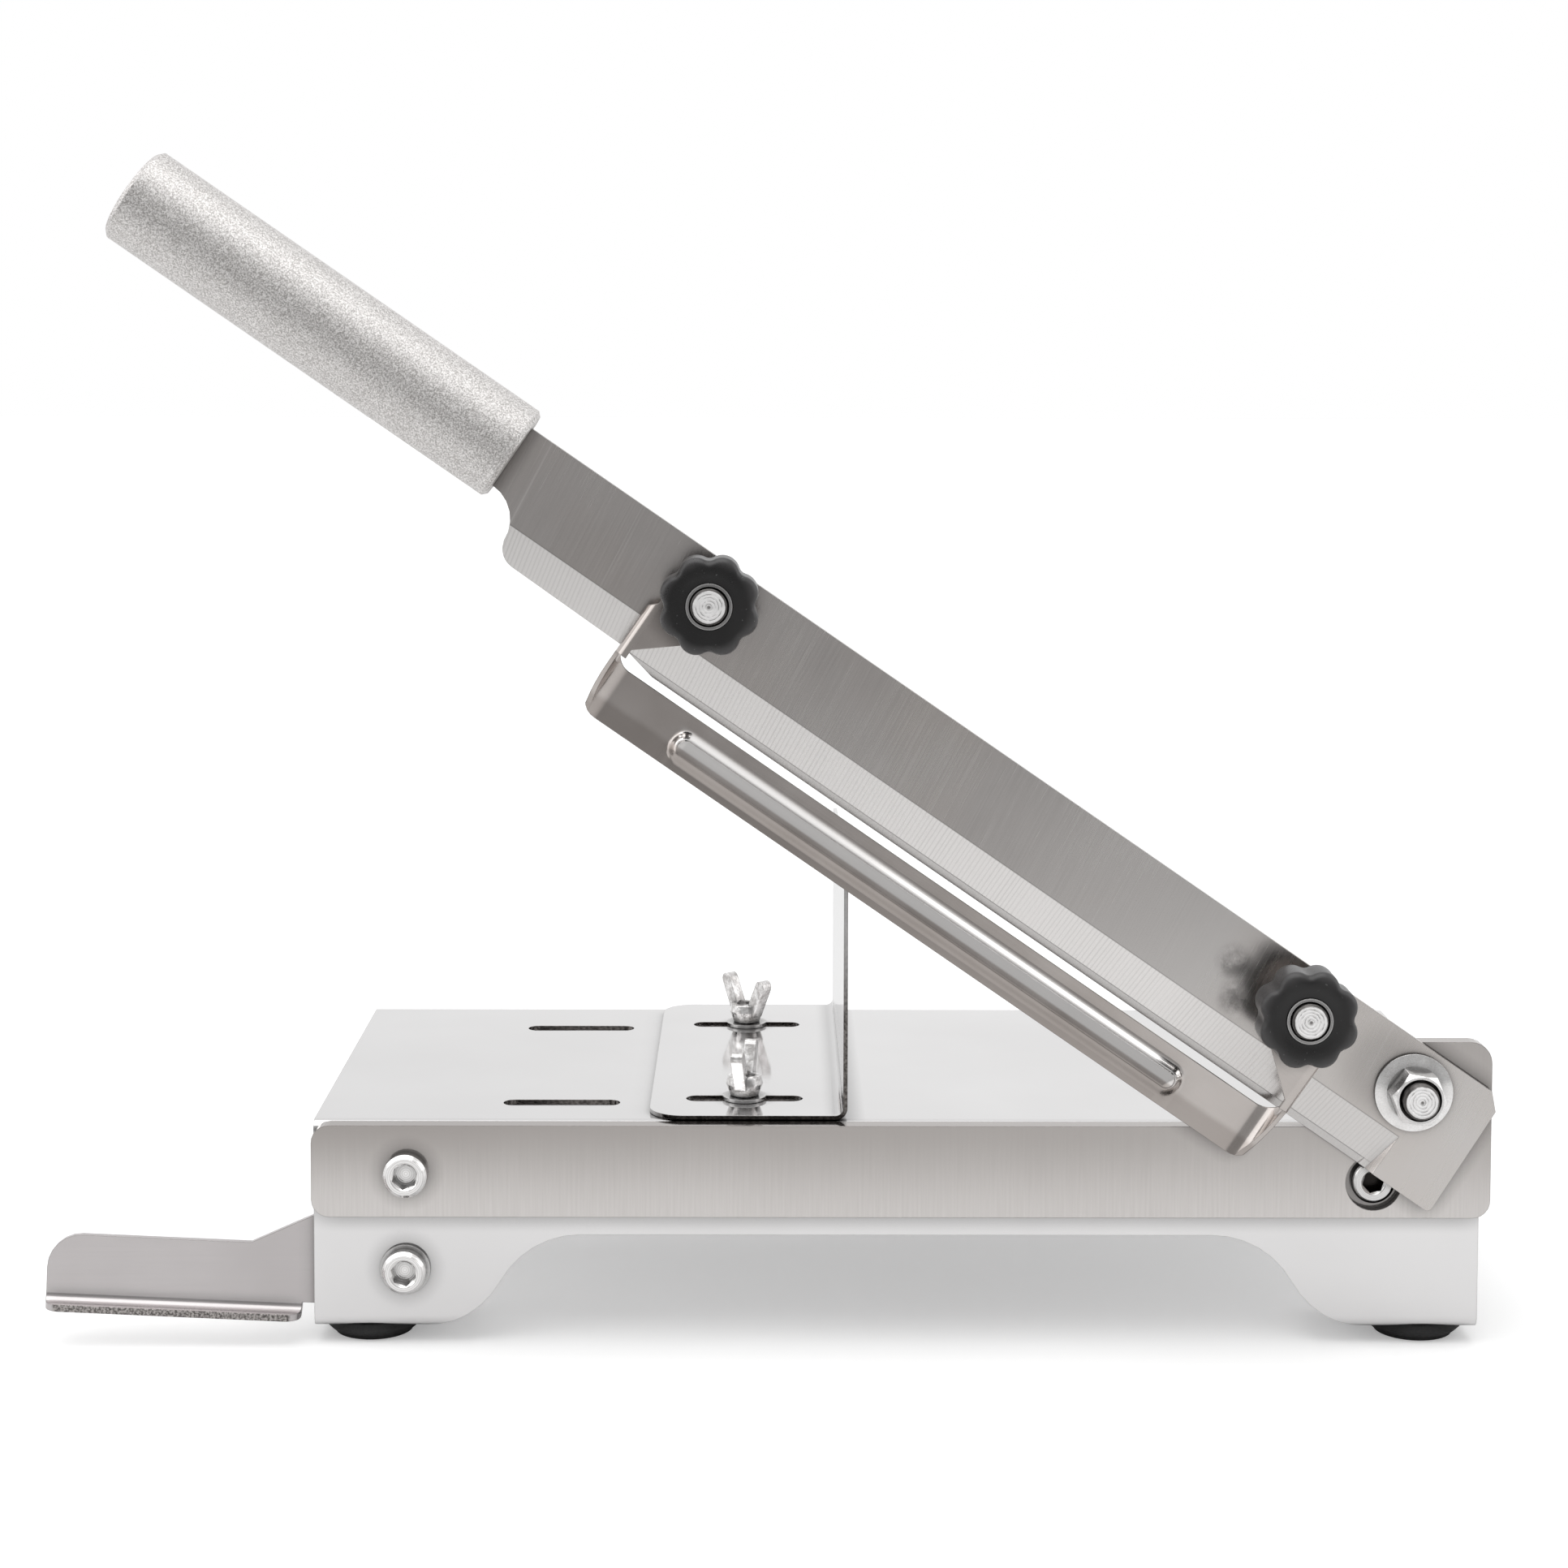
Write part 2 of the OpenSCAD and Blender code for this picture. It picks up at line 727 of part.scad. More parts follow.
// The bevel's end towards the heel slopes, so that it widens down to the edge
module bevel_cut(start, width, depth, lift) {
    low = edge_v - over;
    difference() {
        translate([start, 0, 0])
            rotate([90, 0, 90])
                linear_extrude(reach_l + over - start)
                    polygon([
                        [-over, edge_v + width], [lift, edge_v + width], [depth, edge_v],
                        [depth, low], [-over, low]
                    ]);
        stand_up(low - over, edge_v + width + over)
            polygon([
                [start - over, -blade_t], [start - over, over + slip], [start, over + slip],
                [start, 0], [start + bevel_runout, -blade_t]
            ]);
    }
}

module blade() {
    full = blade_t - edge_t;
    second = full * (1 - 0.8 * edge_w / bevel_w);
    color(dark)
        along_blade()
            difference() {
                translate([0, blade_t, 0]) plate(blade_t) blade_outline();
                bevel_cut(-bevel_past, bevel_w, full * 0.86, 0);
                bevel_cut(edge_w - bevel_past, edge_w, full, second * 0.86);
                cross_rod(pivot_d + 2 * pivot_clear, blade_t + over, -over);
                for (u = stud_us)
                    translate([u, 0, stud_up]) {
                        cross_rod(stud_d + 2 * seat, blade_t + over, -over);
                        translate([0, blade_t, 0])
                            rotate([90, 0, 0])
                                cylinder(
                                    d1 = stud_head_d + 2 * seat, d2 = stud_d + 2 * seat, h = stud_head_h
                                );
                    }
            }
}

module handle() {
    color(zinc)
        along_blade()
            difference() {
                translate([reach_l, blade_t / 2, handle_up])
                    rotate([0, 90, 0])
                        rotate_extrude()
                            polygon([
                                [0, 0], [handle_d / 2 - handle_chamfer, 0], [handle_d / 2, handle_chamfer],
                                [handle_d / 2, handle_l - handle_chamfer],
                                [handle_d / 2 - handle_chamfer, handle_l], [0, handle_l]
                            ]);
                translate([reach_l - over, -seat, tang_v - seat])
                    cube([tang_l + over + seat, blade_t + 2 * seat, tang_w + 2 * seat]);
            }
}

// Guide studs, riveted flush in the back of the blade
module guide_studs() {
    color(zinc)
        along_blade()
            for (u = stud_us)
                translate([u, 0, stud_up]) {
                    cross_rod(stud_d, blade_t / 2, stud_chamfer - stud_end);
                    translate([0, blade_t, 0])
                        rotate([90, 0, 0])
                            cylinder(d1 = stud_head_d, d2 = stud_d, h = stud_head_h);
                    translate([0, stud_chamfer - stud_end, 0])
                        rotate([90, 0, 0])
                            cylinder(d1 = stud_d, d2 = stud_d - 2 * stud_chamfer, h = stud_chamfer);
                }
}

// Return springs between the blade and the guide's ears
function coil_point(t, a) =
    let (r = spring_d / 2 + spring_wire / 2 * cos(a), turn = 360 * spring_turns * t)
    [r * cos(turn), r * sin(turn), spring_wire / 2 * (1 + sin(a)) + (spring_rise - spring_wire) * t];

module coil() {
    rings = ceil(spring_turns * spring_steps);
    points = [for (i = [0 : rings]) for (k = [0 : spring_sides - 1])
              coil_point(i / rings, -360 * k / spring_sides)];
    walls = [for (i = [0 : rings - 1]) for (k = [0 : spring_sides - 1])
             let (a = i * spring_sides + k, b = i * spring_sides + (k + 1) % spring_sides)
             each [[a, b, b + spring_sides], [a, b + spring_sides, a + spring_sides]]];
    first = [for (k = [spring_sides - 1 : -1 : 0]) k];
    last = [for (k = [0 : spring_sides - 1]) rings * spring_sides + k];
    polyhedron(points, concat(walls, [first, last]));
}

module guide_springs() {
    color(dark)
        along_blade()
            for (u = stud_us)
                translate([u, 0, stud_up]) rotate([90, 0, 0]) coil();
}

// Guide: a strip whose ends bend forward, climb past the edge and turn in as ears
module bend_ring(inner, outer) {
    difference() {
        circle(outer);
        circle(inner);
    }
}

// Section along the blade, in u and height over the blade's face, of the left half
module strip_path() {
    outer = bend_r + guide_t;
    mid = guide_start + guide_l / 2;
    end = guide_end;
    translate([mid - slip, -guide_t]) square([end - outer - mid + slip, guide_t]);
    intersection() {
        translate([end - outer, bend_r]) bend_ring(bend_r, outer);
        translate([end - outer, -guide_t]) square([outer, outer]);
    }
    translate([end - guide_t, bend_r]) square([guide_t, ear_rear - bend_r]);
    ear_turn();
}

// The bend from the flange into the ear
module ear_turn() {
    outer = ear_bend + guide_t;
    intersection() {
        translate([guide_end - outer, ear_rear]) bend_ring(ear_bend, outer);
        translate([guide_end - outer, ear_rear]) square([outer, outer]);
    }
}

// Section of the ear with its bend, which the flange has too
module ear_path() {
    ear_turn();
    translate([guide_end - 2 * stud_inset - ear_bend - guide_t, guide_ear_h - guide_t])
        square([2 * stud_inset, guide_t]);
}

// Stands a section in u and height up along the blade's width
module stand_up(low, high) {
    translate([0, 0, low])
        mirror([0, 1, 0])
            linear_extrude(high - low) children();
}

// What the flange keeps, seen from its end: width across the blade, height over its face
module flange_side() {
    polygon([
        [strip_bottom - over, -guide_t], [strip_top, -guide_t],
        [flange_high + flange_wide, ear_rear], [ear_bend_top, ear_rear],
        [ear_bend_top, guide_ear_h + over], [flange_high, guide_ear_h + over],
        [flange_high, ear_rear], [flange_low, flange_foot], [strip_bottom - over, flange_foot / 3]
    ]);
}

module ear_front() {
    u = stud_us[1];
    r = ear_top_v - stud_up;
    polygon(concat(
        [[guide_end, flange_high], [guide_end, ear_bend_top - ear_bend]],
        [[guide_end - ear_bend, ear_bend_top]],
        arc([u, stud_up], r, 20, 225)
    ));
}

// The strip's and the flange's front view, with the corner under the bend rounded
module strip_front() {
    r = guide_corner;
    left = guide_start;
    polygon(concat(
        [[left, strip_bottom]],
        arc([guide_end - r, strip_bottom + r], r, -90, 0),
        [[guide_end, ear_bend_top - ear_bend], [guide_end - ear_bend, ear_bend_top]],
        [[left, ear_bend_top]]
    ));
}

module guide_half() {
    intersection() {
        stand_up(strip_bottom - over, ear_top_v) strip_path();
        translate([guide_start, 0, 0])
            rotate([90, 0, 90])
                linear_extrude(guide_l + over) mirror([1, 0]) turned_side();
        translate([0, 2 * over, 0]) plate(guide_ear_h + 4 * over) strip_front();
    }
    intersection() {
        stand_up(flange_high, ear_top_v + over) ear_path();
        translate([0, over, 0]) plate(guide_ear_h + 2 * over) ear_front();
    }
}

// The flange's side view with its axes swapped for the extrusion along the blade
module turned_side() {
    mirror([1, -1]) flange_side();
}

// Embossed rib: a smooth swell whose crown is a flat ridge with a small step round it
module rib_half_section() {
    steps = 8;
    ridge = ridge_share * rib_w / 2;
    foot = ridge + ridge_step / 2;
    polygon(concat(
        [[0, -guide_t], [0, rib_h], [ridge, rib_h]],
        [for (i = [0 : steps])
         [foot + (rib_w / 2 - foot) * i / steps, (rib_h - ridge_step) * (0.5 + 0.5 * cos(180 * i / steps))]],
        [[rib_w / 2, -guide_t]]
    ));
}

module rib(drop) {
    half = (rib_l - rib_w) / 2;
    translate([guide_start + guide_l / 2, drop, (strip_top + strip_bottom) / 2])
        rotate([90, 0, 0]) {
            for (x = [-half, half])
                translate([x, 0, 0]) rotate_extrude() rib_half_section();
            for (side = [0, 1])
                translate([-half, 0, 0])
                    rotate([90, 0, 90])
                        linear_extrude(2 * half) mirror([side, 0]) rib_half_section();
        }
}

module guide_bracket() {
    mid = guide_start + guide_l / 2;
    color(steel)
        along_blade()
            difference() {
                union() {
                    guide_half();
                    translate([mid, 0, 0]) mirror([1, 0, 0]) translate([-mid, 0, 0]) guide_half();
                    intersection() {
                        rib(0);
                        translate([guide_start, -rib_h - over, strip_bottom])
                            cube([guide_l, rib_h + over + guide_t, strip_w]);
                    }
                }
                rib(guide_t);
                for (u = stud_us)
                    translate([u, 0, stud_up]) cross_rod(guide_hole_d, 0, -guide_ear_h - over);
            }
}

// Knobs
module knob_outline() {
    r = scallop_share * knob_d;
    difference() {
        circle(d = knob_d);
        for (i = [0 : knob_lobes - 1])
            rotate(360 * i / knob_lobes)
                translate([knob_d / 2 + 0.72 * r, 0]) circle(r);
    }
}

module knob_body() {
    rim = knob_d / 2;
    rotate([90, 0, 0])
        difference() {
            intersection() {
                linear_extrude(knob_h) knob_outline();
                rotate_extrude()
                    polygon(concat(
                        [[0, 0], [rim - knob_round / 2, 0], [rim, knob_round / 2]],
                        arc([rim - knob_round, knob_h - knob_round], knob_round, 0, 90),
                        [[0, knob_h]]
                    ));
            }
            translate([0, 0, knob_h - knob_dish])
                cylinder(d1 = knob_dish_d - 2 * knob_round, d2 = knob_dish_d, h = knob_dish + seat);
            translate([0, 0, -over]) cylinder(d = insert_d + 2 * seat, h = knob_h + 2 * over);
        }
}

module insert_body() {
    rotate([90, 0, 0])
        difference() {
            cylinder(d = insert_d, h = knob_h - knob_dish / 2);
            translate([0, 0, -over]) cylinder(d = stud_d + 2 * slip, h = knob_h + 2 * over);
            translate([0, 0, knob_h - insert_mouth]) cylinder(d = insert_mouth_d, h = insert_mouth);
        }
}

module on_stud(i) {
    along_blade() translate([stud_us[i], knob_y - slip, stud_up]) children();
}

module upper_knob() {
    color(plastic) on_stud(1) rotate([0, blade_angle, 0]) knob_body();
}

module lower_knob() {
    color(plastic) on_stud(0) rotate([0, blade_angle, 0]) knob_body();
}

module upper_insert() {
    color(zinc) on_stud(1) insert_body();
}

module lower_insert() {
    color(zinc) on_stud(0) insert_body();
}

// Meat stop
module stop_section() {
    outer = stop_bend + stop_t;
    translate([foot_left, 0]) square([stop_w - outer, stop_t]);
    translate([stop_x - stop_t, outer]) square([stop_t, stop_h - outer]);
    intersection() {
        translate([stop_x - outer, outer]) bend_ring(stop_bend, outer);
        translate([stop_x - outer, 0]) square([outer, outer]);
    }
}

module stop_plan() {
    d = base_d - 2 * stop_edge;
    translate([foot_left, stop_edge]) round_rect(stop_w, d, stop_corner);
    translate([foot_left + stop_w / 2, stop_edge]) square([stop_w / 2, d]);
}

module meat_stop() {
    color(bright)
        translate([0, 0, table_z + slip])
            difference() {
                intersection() {
                    translate([0, base_d, 0]) plate(base_d) stop_section();
                    linear_extrude(stop_h) stop_plan();
                }
                for (y = slot_ys)
                    translate([slot_mid, y, -over])
                        linear_extrude(stop_t + 2 * over) slot(slot_l, slot_w);
            }
}

module stop_bolts() {
    color(zinc)
        for (y = slot_ys)
            translate([slot_mid, y, table_z - sheet_t]) {
                translate([0, 0, -bolt_head_h]) cylinder(d = bolt_head_d, h = bolt_head_h, $fn = 6);
                cylinder(d = bolt_d, h = sheet_t + bolt_top);
            }
}

module stop_washers() {
    color(zinc)
        for (y = slot_ys)
            translate([slot_mid, y, table_z + 2 * slip + stop_t])
                difference() {
                    cylinder(d = stop_washer_d, h = stop_washer_t);
                    translate([0, 0, -over]) cylinder(d = bolt_d + 2 * seat, h = stop_washer_t + 2 * over);
                }
}

// One wing: a thick finger that leans outwards from the hub
module wing() {
    run = wing_tip - wing_foot;
    lean = atan2(run[1], run[0]);
    side = wing_r * [sin(lean), -cos(lean)];
    translate([0, wing_t / 2, 0])
        plate(wing_t)
            polygon(concat(
                [wing_foot - side, wing_foot + side],
                arc(wing_tip, wing_r, lean - 90, lean + 90)
            ));
}

module wing_nut() {
    waist = 0.6 * wing_h;
    difference() {
        union() {
            cylinder(d1 = 1.35 * bolt_d, d2 = 1.78 * bolt_d, h = waist);
            translate([0, 0, waist]) cylinder(d1 = 1.78 * bolt_d, d2 = 1.6 * bolt_d, h = wing_h - waist);
            wing();
            rotate([0, 0, 180]) wing();
        }
        translate([0, 0, -over]) cylinder(d = bolt_d + 2 * pivot_clear, h = 2 * wing_h + over);
    }
}

module near_wing_nut() {
    color(zinc)
        translate([slot_mid, slot_ys[0], wing_z + slip]) rotate([0, 0, near_wing_turn]) wing_nut();
}

module far_wing_nut() {
    color(zinc)
        translate([slot_mid, slot_ys[1], wing_z + slip]) rotate([0, 0, far_wing_turn]) wing_nut();
}

placed() base_sheet();
placed() rubber_feet();
placed() foot_screws();
placed() foot_nuts();
placed() cutting_bar();
placed() bar_screw();
placed() bar_nut();
placed() pivot_stud();
placed() pivot_nut();
placed() pivot_washer();
placed() pivot_locknut();
placed() side_bracket();
placed() cap_screws();
placed() cap_washer();
placed() cap_nuts();
placed() blade();
placed() handle();
placed() guide_studs();
placed() guide_springs();
placed() guide_bracket();
placed() upper_knob();
placed() lower_knob();
placed() upper_insert();
placed() lower_insert();
placed() meat_stop();
placed() stop_bolts();
placed() stop_washers();
placed() near_wing_nut();
placed() far_wing_nut();
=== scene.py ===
"""Looks of the frozen meat slicer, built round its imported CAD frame."""

import json
import math
import bpy
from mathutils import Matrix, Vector

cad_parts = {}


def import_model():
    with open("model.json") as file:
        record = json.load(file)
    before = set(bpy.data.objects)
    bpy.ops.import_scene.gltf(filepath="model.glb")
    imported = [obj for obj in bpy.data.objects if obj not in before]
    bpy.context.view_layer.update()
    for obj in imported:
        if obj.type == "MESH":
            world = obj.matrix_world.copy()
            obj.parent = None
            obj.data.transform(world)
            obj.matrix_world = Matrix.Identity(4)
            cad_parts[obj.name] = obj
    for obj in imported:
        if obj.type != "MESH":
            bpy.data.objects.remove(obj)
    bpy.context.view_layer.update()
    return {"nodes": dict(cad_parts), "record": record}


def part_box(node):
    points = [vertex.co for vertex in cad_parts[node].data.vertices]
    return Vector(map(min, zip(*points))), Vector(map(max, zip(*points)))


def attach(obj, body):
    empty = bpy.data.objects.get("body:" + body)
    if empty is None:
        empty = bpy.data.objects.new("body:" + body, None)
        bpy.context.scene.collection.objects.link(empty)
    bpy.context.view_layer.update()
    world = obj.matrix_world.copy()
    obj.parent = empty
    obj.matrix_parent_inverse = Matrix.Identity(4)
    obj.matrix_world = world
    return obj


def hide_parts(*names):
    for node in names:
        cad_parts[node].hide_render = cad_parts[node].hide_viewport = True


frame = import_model()
nodes = frame["nodes"]
MM = 0.001
TURN = 2 * math.pi

# The blade at rest: its pivot, its angle, and the directions along it and across it
JOINTS = {j["name"]: j for j in frame["record"]["behaviour"]["joints"]}
PIVOT = Vector(JOINTS["blade_swing"]["pos_m"])
BLADE_ANGLE = math.radians(34.6)
ALONG = Vector((-math.cos(BLADE_ANGLE), 0, math.sin(BLADE_ANGLE)))
ACROSS = Vector((math.sin(BLADE_ANGLE), 0, math.cos(BLADE_ANGLE)))
UP, SIDE, DEPTH = Vector((0, 0, 1)), Vector((1, 0, 0)), Vector((0, 1, 0))
# How far below the pivot's line the bevel starts, the second bevel starts and the guide's rib runs
BEVEL_LINE, HONE_LINE, RIB_LINE = 0.0126, 0.0232, 0.03605
# The fasteners with turned faces
KNOBS = [Vector(JOINTS[name]["pos_m"]) for name in ("upper_knob_turn", "lower_knob_turn")]
CAPS = [Vector((-0.100572, 0, 0.05048)), Vector((-0.101472, 0, 0.021815))]
BAR_SCREW = [Vector((0.170128, 0, 0.04814))]


# ---------------------------------------------------------------- shader helpers
class Nodes:
    """A node tree, and short ways to add nodes to it."""

    def __init__(self, tree):
        self.tree = tree

    def node(self, kind, **settings):
        n = self.tree.nodes.new(kind)
        for key, value in settings.items():
            setattr(n, key, value)
        return n

    def put(self, socket, value):
        """Links a socket to another one, or sets its value."""
        if isinstance(value, bpy.types.NodeSocket):
            self.tree.links.new(value, socket)
        else:
            socket.default_value = value

    def math(self, op, a, b=0.0, c=0.0, clamp=False):
        n = self.node("ShaderNodeMath", operation=op, use_clamp=clamp)
        for socket, value in zip(n.inputs, (a, b, c)):
            self.put(socket, value)
        return n.outputs[0]

    def vector(self, x, y, z):
        n = self.node("ShaderNodeCombineXYZ")
        for socket, value in zip(n.inputs, (x, y, z)):
            self.put(socket, value)
        return n.outputs[0]

    def times(self, *values):
        """Product of masks and numbers."""
        product = values[0]
        for value in values[1:]:
            product = self.math("MULTIPLY", product, value)
        return product

    def spread(self, value, low, high, to_low=0.0, to_high=1.0, smooth=False):
        """Maps low..high to other limits and stays inside them."""
        n = self.node("ShaderNodeMapRange")
        if smooth:
            n.interpolation_type = "SMOOTHSTEP"
        for key, v in (("Value", value), ("From Min", low), ("From Max", high),
                       ("To Min", to_low), ("To Max", to_high)):
            self.put(n.inputs[key], v)
        return n.outputs[0]

    def between(self, value, low, high, fade, smooth=False):
        """1 from low to high, fading to 0 inside both ends."""
        return self.times(self.spread(value, low, low + fade, smooth=smooth),
                          self.spread(value, high, high - fade, smooth=smooth))

    def mix(self, factor, a, b):
        """Colour a at 0 and colour b at 1."""
        n = self.node("ShaderNodeMix", data_type="RGBA")
        self.put(n.inputs[0], factor)
        self.put(n.inputs[6], (*a, 1) if isinstance(a, tuple) else a)
        self.put(n.inputs[7], (*b, 1) if isinstance(b, tuple) else b)
        return n.outputs[2]


class Shader(Nodes):
    """A material with a Principled surface, its masks and patterns in object coordinates."""

    def __init__(self, name):
        self.mat = bpy.data.materials.new(name)
        self.mat.use_nodes = True
        super().__init__(self.mat.node_tree)
        self.bsdf = self.tree.nodes["Principled BSDF"]
        self.place = self.node("ShaderNodeTexCoord").outputs["Object"]

    def dot(self, direction, origin=None):
        """Distance along a direction, in metres, from an origin."""
        n = self.node("ShaderNodeVectorMath", operation="DOT_PRODUCT")
        self.put(n.inputs[0], self.place)
        n.inputs[1].default_value = direction
        if origin is None:
            return n.outputs["Value"]
        return self.math("SUBTRACT", n.outputs["Value"], direction.dot(origin))

    def noise(self, where, scale, detail=3.0, roughness=0.55):
        n = self.node("ShaderNodeTexNoise")
        self.put(n.inputs["Vector"], where)
        n.inputs["Scale"].default_value = scale
        n.inputs["Detail"].default_value = detail
        n.inputs["Roughness"].default_value = roughness
        return n.outputs["Fac"]

    def lines(self, line_dir, cross_dirs, per_m, stretch=0.02, detail=4.0):
        """Noise drawn out into fine marks that run along line_dir."""
        parts = [self.times(self.dot(line_dir), stretch)]
        parts += [self.dot(d) for d in cross_dirs]
        return self.noise(self.vector(*parts), per_m, detail)

    def radius(self, centres, axis):
        """Distance from the nearest of some axes that run along axis."""
        least = None
        for centre in centres:
            flat = self.node("ShaderNodeVectorMath", operation="MULTIPLY")
            self.put(flat.inputs[0], self.place)
            flat.inputs[1].default_value = [1 - abs(c) for c in axis]
            off = self.node("ShaderNodeVectorMath", operation="DISTANCE")
            self.put(off.inputs[0], flat.outputs[0])
            off.inputs[1].default_value = [c * (1 - abs(a)) for c, a in zip(centre, axis)]
            r = off.outputs["Value"]
            least = r if least is None else self.math("MINIMUM", least, r)
        return least

    def rings(self, centres, axis, pitch):
        """Fine turned rings round the nearest axis, 0..1."""
        wave = self.math("SINE", self.times(self.radius(centres, axis), TURN / pitch))
        return self.math("MULTIPLY_ADD", wave, 0.5, 0.5)

    def shade(self, tint, distance, least=0.2, power=1.5):
        """Darkens a tint with painted shade, and some grime, in grooves, gaps and bores."""
        n = self.node("ShaderNodeAmbientOcclusion", samples=4)
        n.inputs["Distance"].default_value = distance
        open_sky = self.math("POWER", n.outputs["AO"], power)
        return self.mix(open_sky, self.mix(least, (0.0, 0.0, 0.0), tint), tint)

    def dark_edges(self, tint, radius, share, dark):
        """Mixes a share of a darker tint in on corners, creases and cut edges: painted shade along creases
        and edge lines, and the darker cut edges themselves.
        """
        soft = self.node("ShaderNodeBevel", samples=6)
        soft.inputs["Radius"].default_value = radius
        n = self.node("ShaderNodeVectorMath", operation="DOT_PRODUCT")
        self.put(n.inputs[0], soft.outputs[0])
        self.put(n.inputs[1], self.node("ShaderNodeNewGeometry").outputs["Normal"])
        return self.mix(self.times(self.spread(n.outputs["Value"], 0.995, 0.86), share), tint, dark)

    def facing(self, direction, low, high):
        """1 where the surface looks along a direction or against it."""
        n = self.node("ShaderNodeVectorMath", operation="DOT_PRODUCT")
        self.put(n.inputs[0], self.node("ShaderNodeNewGeometry").outputs["Normal"])
        n.inputs[1].default_value = direction
        return self.spread(self.math("ABSOLUTE", n.outputs["Value"]), low, high)

    def spot(self, place, size, near=0.0):
        """1 near a place, 0 beyond size metres from it."""
        n = self.node("ShaderNodeVectorMath", operation="DISTANCE")
        self.put(n.inputs[0], self.place)
        n.inputs[1].default_value = place
        return self.spread(n.outputs["Value"], near, size, 1.0, 0.0, smooth=True)

    def bump(self, height, distance, strength=1.0, edge=0.0, base=None):
        """Height in 0..1 for a relief of that distance in metres; edge rounds the corners by so much,
        and base is another bump under this one."""
        n = self.node("ShaderNodeBump")
        n.inputs["Strength"].default_value = strength
        n.inputs["Distance"].default_value = distance
        self.put(n.inputs["Height"], height)
        if edge:
            b = self.node("ShaderNodeBevel", samples=4)
            b.inputs["Radius"].default_value = edge
            self.put(n.inputs["Normal"], b.outputs[0])
        elif base is not None:
            self.put(n.inputs["Normal"], base)
        return n.outputs[0]

    def finish(self, color=None, rough=None, normal=None, metal=1.0, **plain):
        for key, value in (("Base Color", color), ("Roughness", rough), ("Normal", normal)):
            if value is not None:
                self.put(self.bsdf.inputs[key], value)
        self.bsdf.inputs["Metallic"].default_value = metal
        for key, value in plain.items():
            self.bsdf.inputs[key.replace("_", " ")].default_value = value
        return self.mat


def grey(value, warm=0.0, blue=0.6):
    """A grey with a share more red; blue says how much of that share the blue loses."""
    return (value * (1 + warm), value, value * (1 - blue * warm))


# ---------------------------------------------------------------- materials
def polished_sheet(name, cut):
    """Bright polished stainless sheet with faint marks from the mill; cut masks its dark cut edges."""
    s = Shader(name)
    marks = s.lines(SIDE, (DEPTH, UP), 900, 0.015)
    cloud = s.noise(s.place, 14, 3)
    tint = s.mix(s.spread(cloud, 0.3, 0.7), grey(0.75, 0.012, 0.0), grey(0.80, 0.01, 0.0))
    tint = s.dark_edges(tint, 0.0004, 0.5, grey(0.30, 0.03))
    burr = s.mix(s.spread(s.noise(s.place, 1100, 2), 0.35, 0.65), grey(0.06, 0.1), grey(0.19, 0.08))
    tint = s.mix(cut(s), tint, burr)
    rough = s.spread(s.math("ADD", marks, cloud), 0.7, 1.4, 0.07, 0.13)
    return s.finish(s.shade(tint, 0.006), rough, s.bump(marks, 0.00001, 0.25, edge=0.00035))


def table_cuts(s):
    """The walls of the slots through the table."""
    return s.times(s.facing(UP, 0.5, 0.3), s.spread(s.dot(UP), 0.0612, 0.0613),
                   s.between(s.dot(DEPTH), -0.050, 0.080, 1 * MM),
                   s.between(s.dot(SIDE), -0.115, 0.190, 1 * MM))


def stop_cuts(s):
    """The front and rear edges of the meat stop and its slots; the upright's edge is paler near its top."""
    return s.times(s.facing(DEPTH, 0.5, 0.8), s.spread(s.dot(UP), 0.118, 0.092, 0.45, 1.0))


def ground_bar():
    """Thicker bar, ground with fine upright marks; painted shade makes it darker and a little browner towards
    its top.
    """
    s = Shader("ground_bar")
    marks = s.lines(UP, (SIDE, DEPTH), 1500, 0.03)
    cloud = s.noise(s.place, 9, 2)
    height = s.math("MULTIPLY_ADD", cloud, 0.012, s.dot(UP))
    tint = s.mix(s.spread(marks, 0.3, 0.7), grey(0.585, 0.045), grey(0.645, 0.04))
    # Painted shade: darker and browner towards the top, more so at the left
    top_shade_share = s.spread(s.dot(SIDE), -0.1, 0.16, 0.94, 0.66)
    tint = s.mix(s.spread(height, 0.044, 0.071, 0.0, top_shade_share, smooth=True), tint, grey(0.35, 0.075))
    tint = s.dark_edges(tint, 0.0004, 0.6, grey(0.16, 0.08))
    rough = s.spread(s.math("ADD", s.times(marks, 0.5), cloud), 0.5, 1.1, 0.09, 0.15)
    return s.finish(s.shade(tint, 0.005), rough, s.bump(marks, 0.00002, 0.3, edge=0.0003))


def bracket_steel():
    """The side bracket: plain sheet; its folded lip ends in a rough, dark cut."""
    s = Shader("bracket_steel")
    marks = s.lines(SIDE, (DEPTH, UP), 1200, 0.03)
    cloud = s.noise(s.place, 24, 3)
    tint = s.mix(s.spread(cloud, 0.35, 0.7), grey(0.49, 0.055, 0.0), grey(0.545, 0.05, 0.0))
    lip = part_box("side_bracket")[0][1]
    cut = s.spread(s.dot(DEPTH), lip + 0.0005, lip + 0.0002)
    torn = s.mix(s.spread(s.noise(s.place, 1500, 2), 0.4, 0.6), grey(0.10, 0.08), grey(0.42, 0.06))
    tint = s.dark_edges(tint, 0.0004, 0.65, grey(0.13, 0.08))
    tint = s.mix(cut, tint, torn)
    rough = s.spread(s.math("ADD", marks, cloud), 0.7, 1.3, 0.16, 0.26)
    return s.finish(s.shade(tint, 0.005), rough, s.bump(marks, 0.00002, 0.2, edge=0.0003))


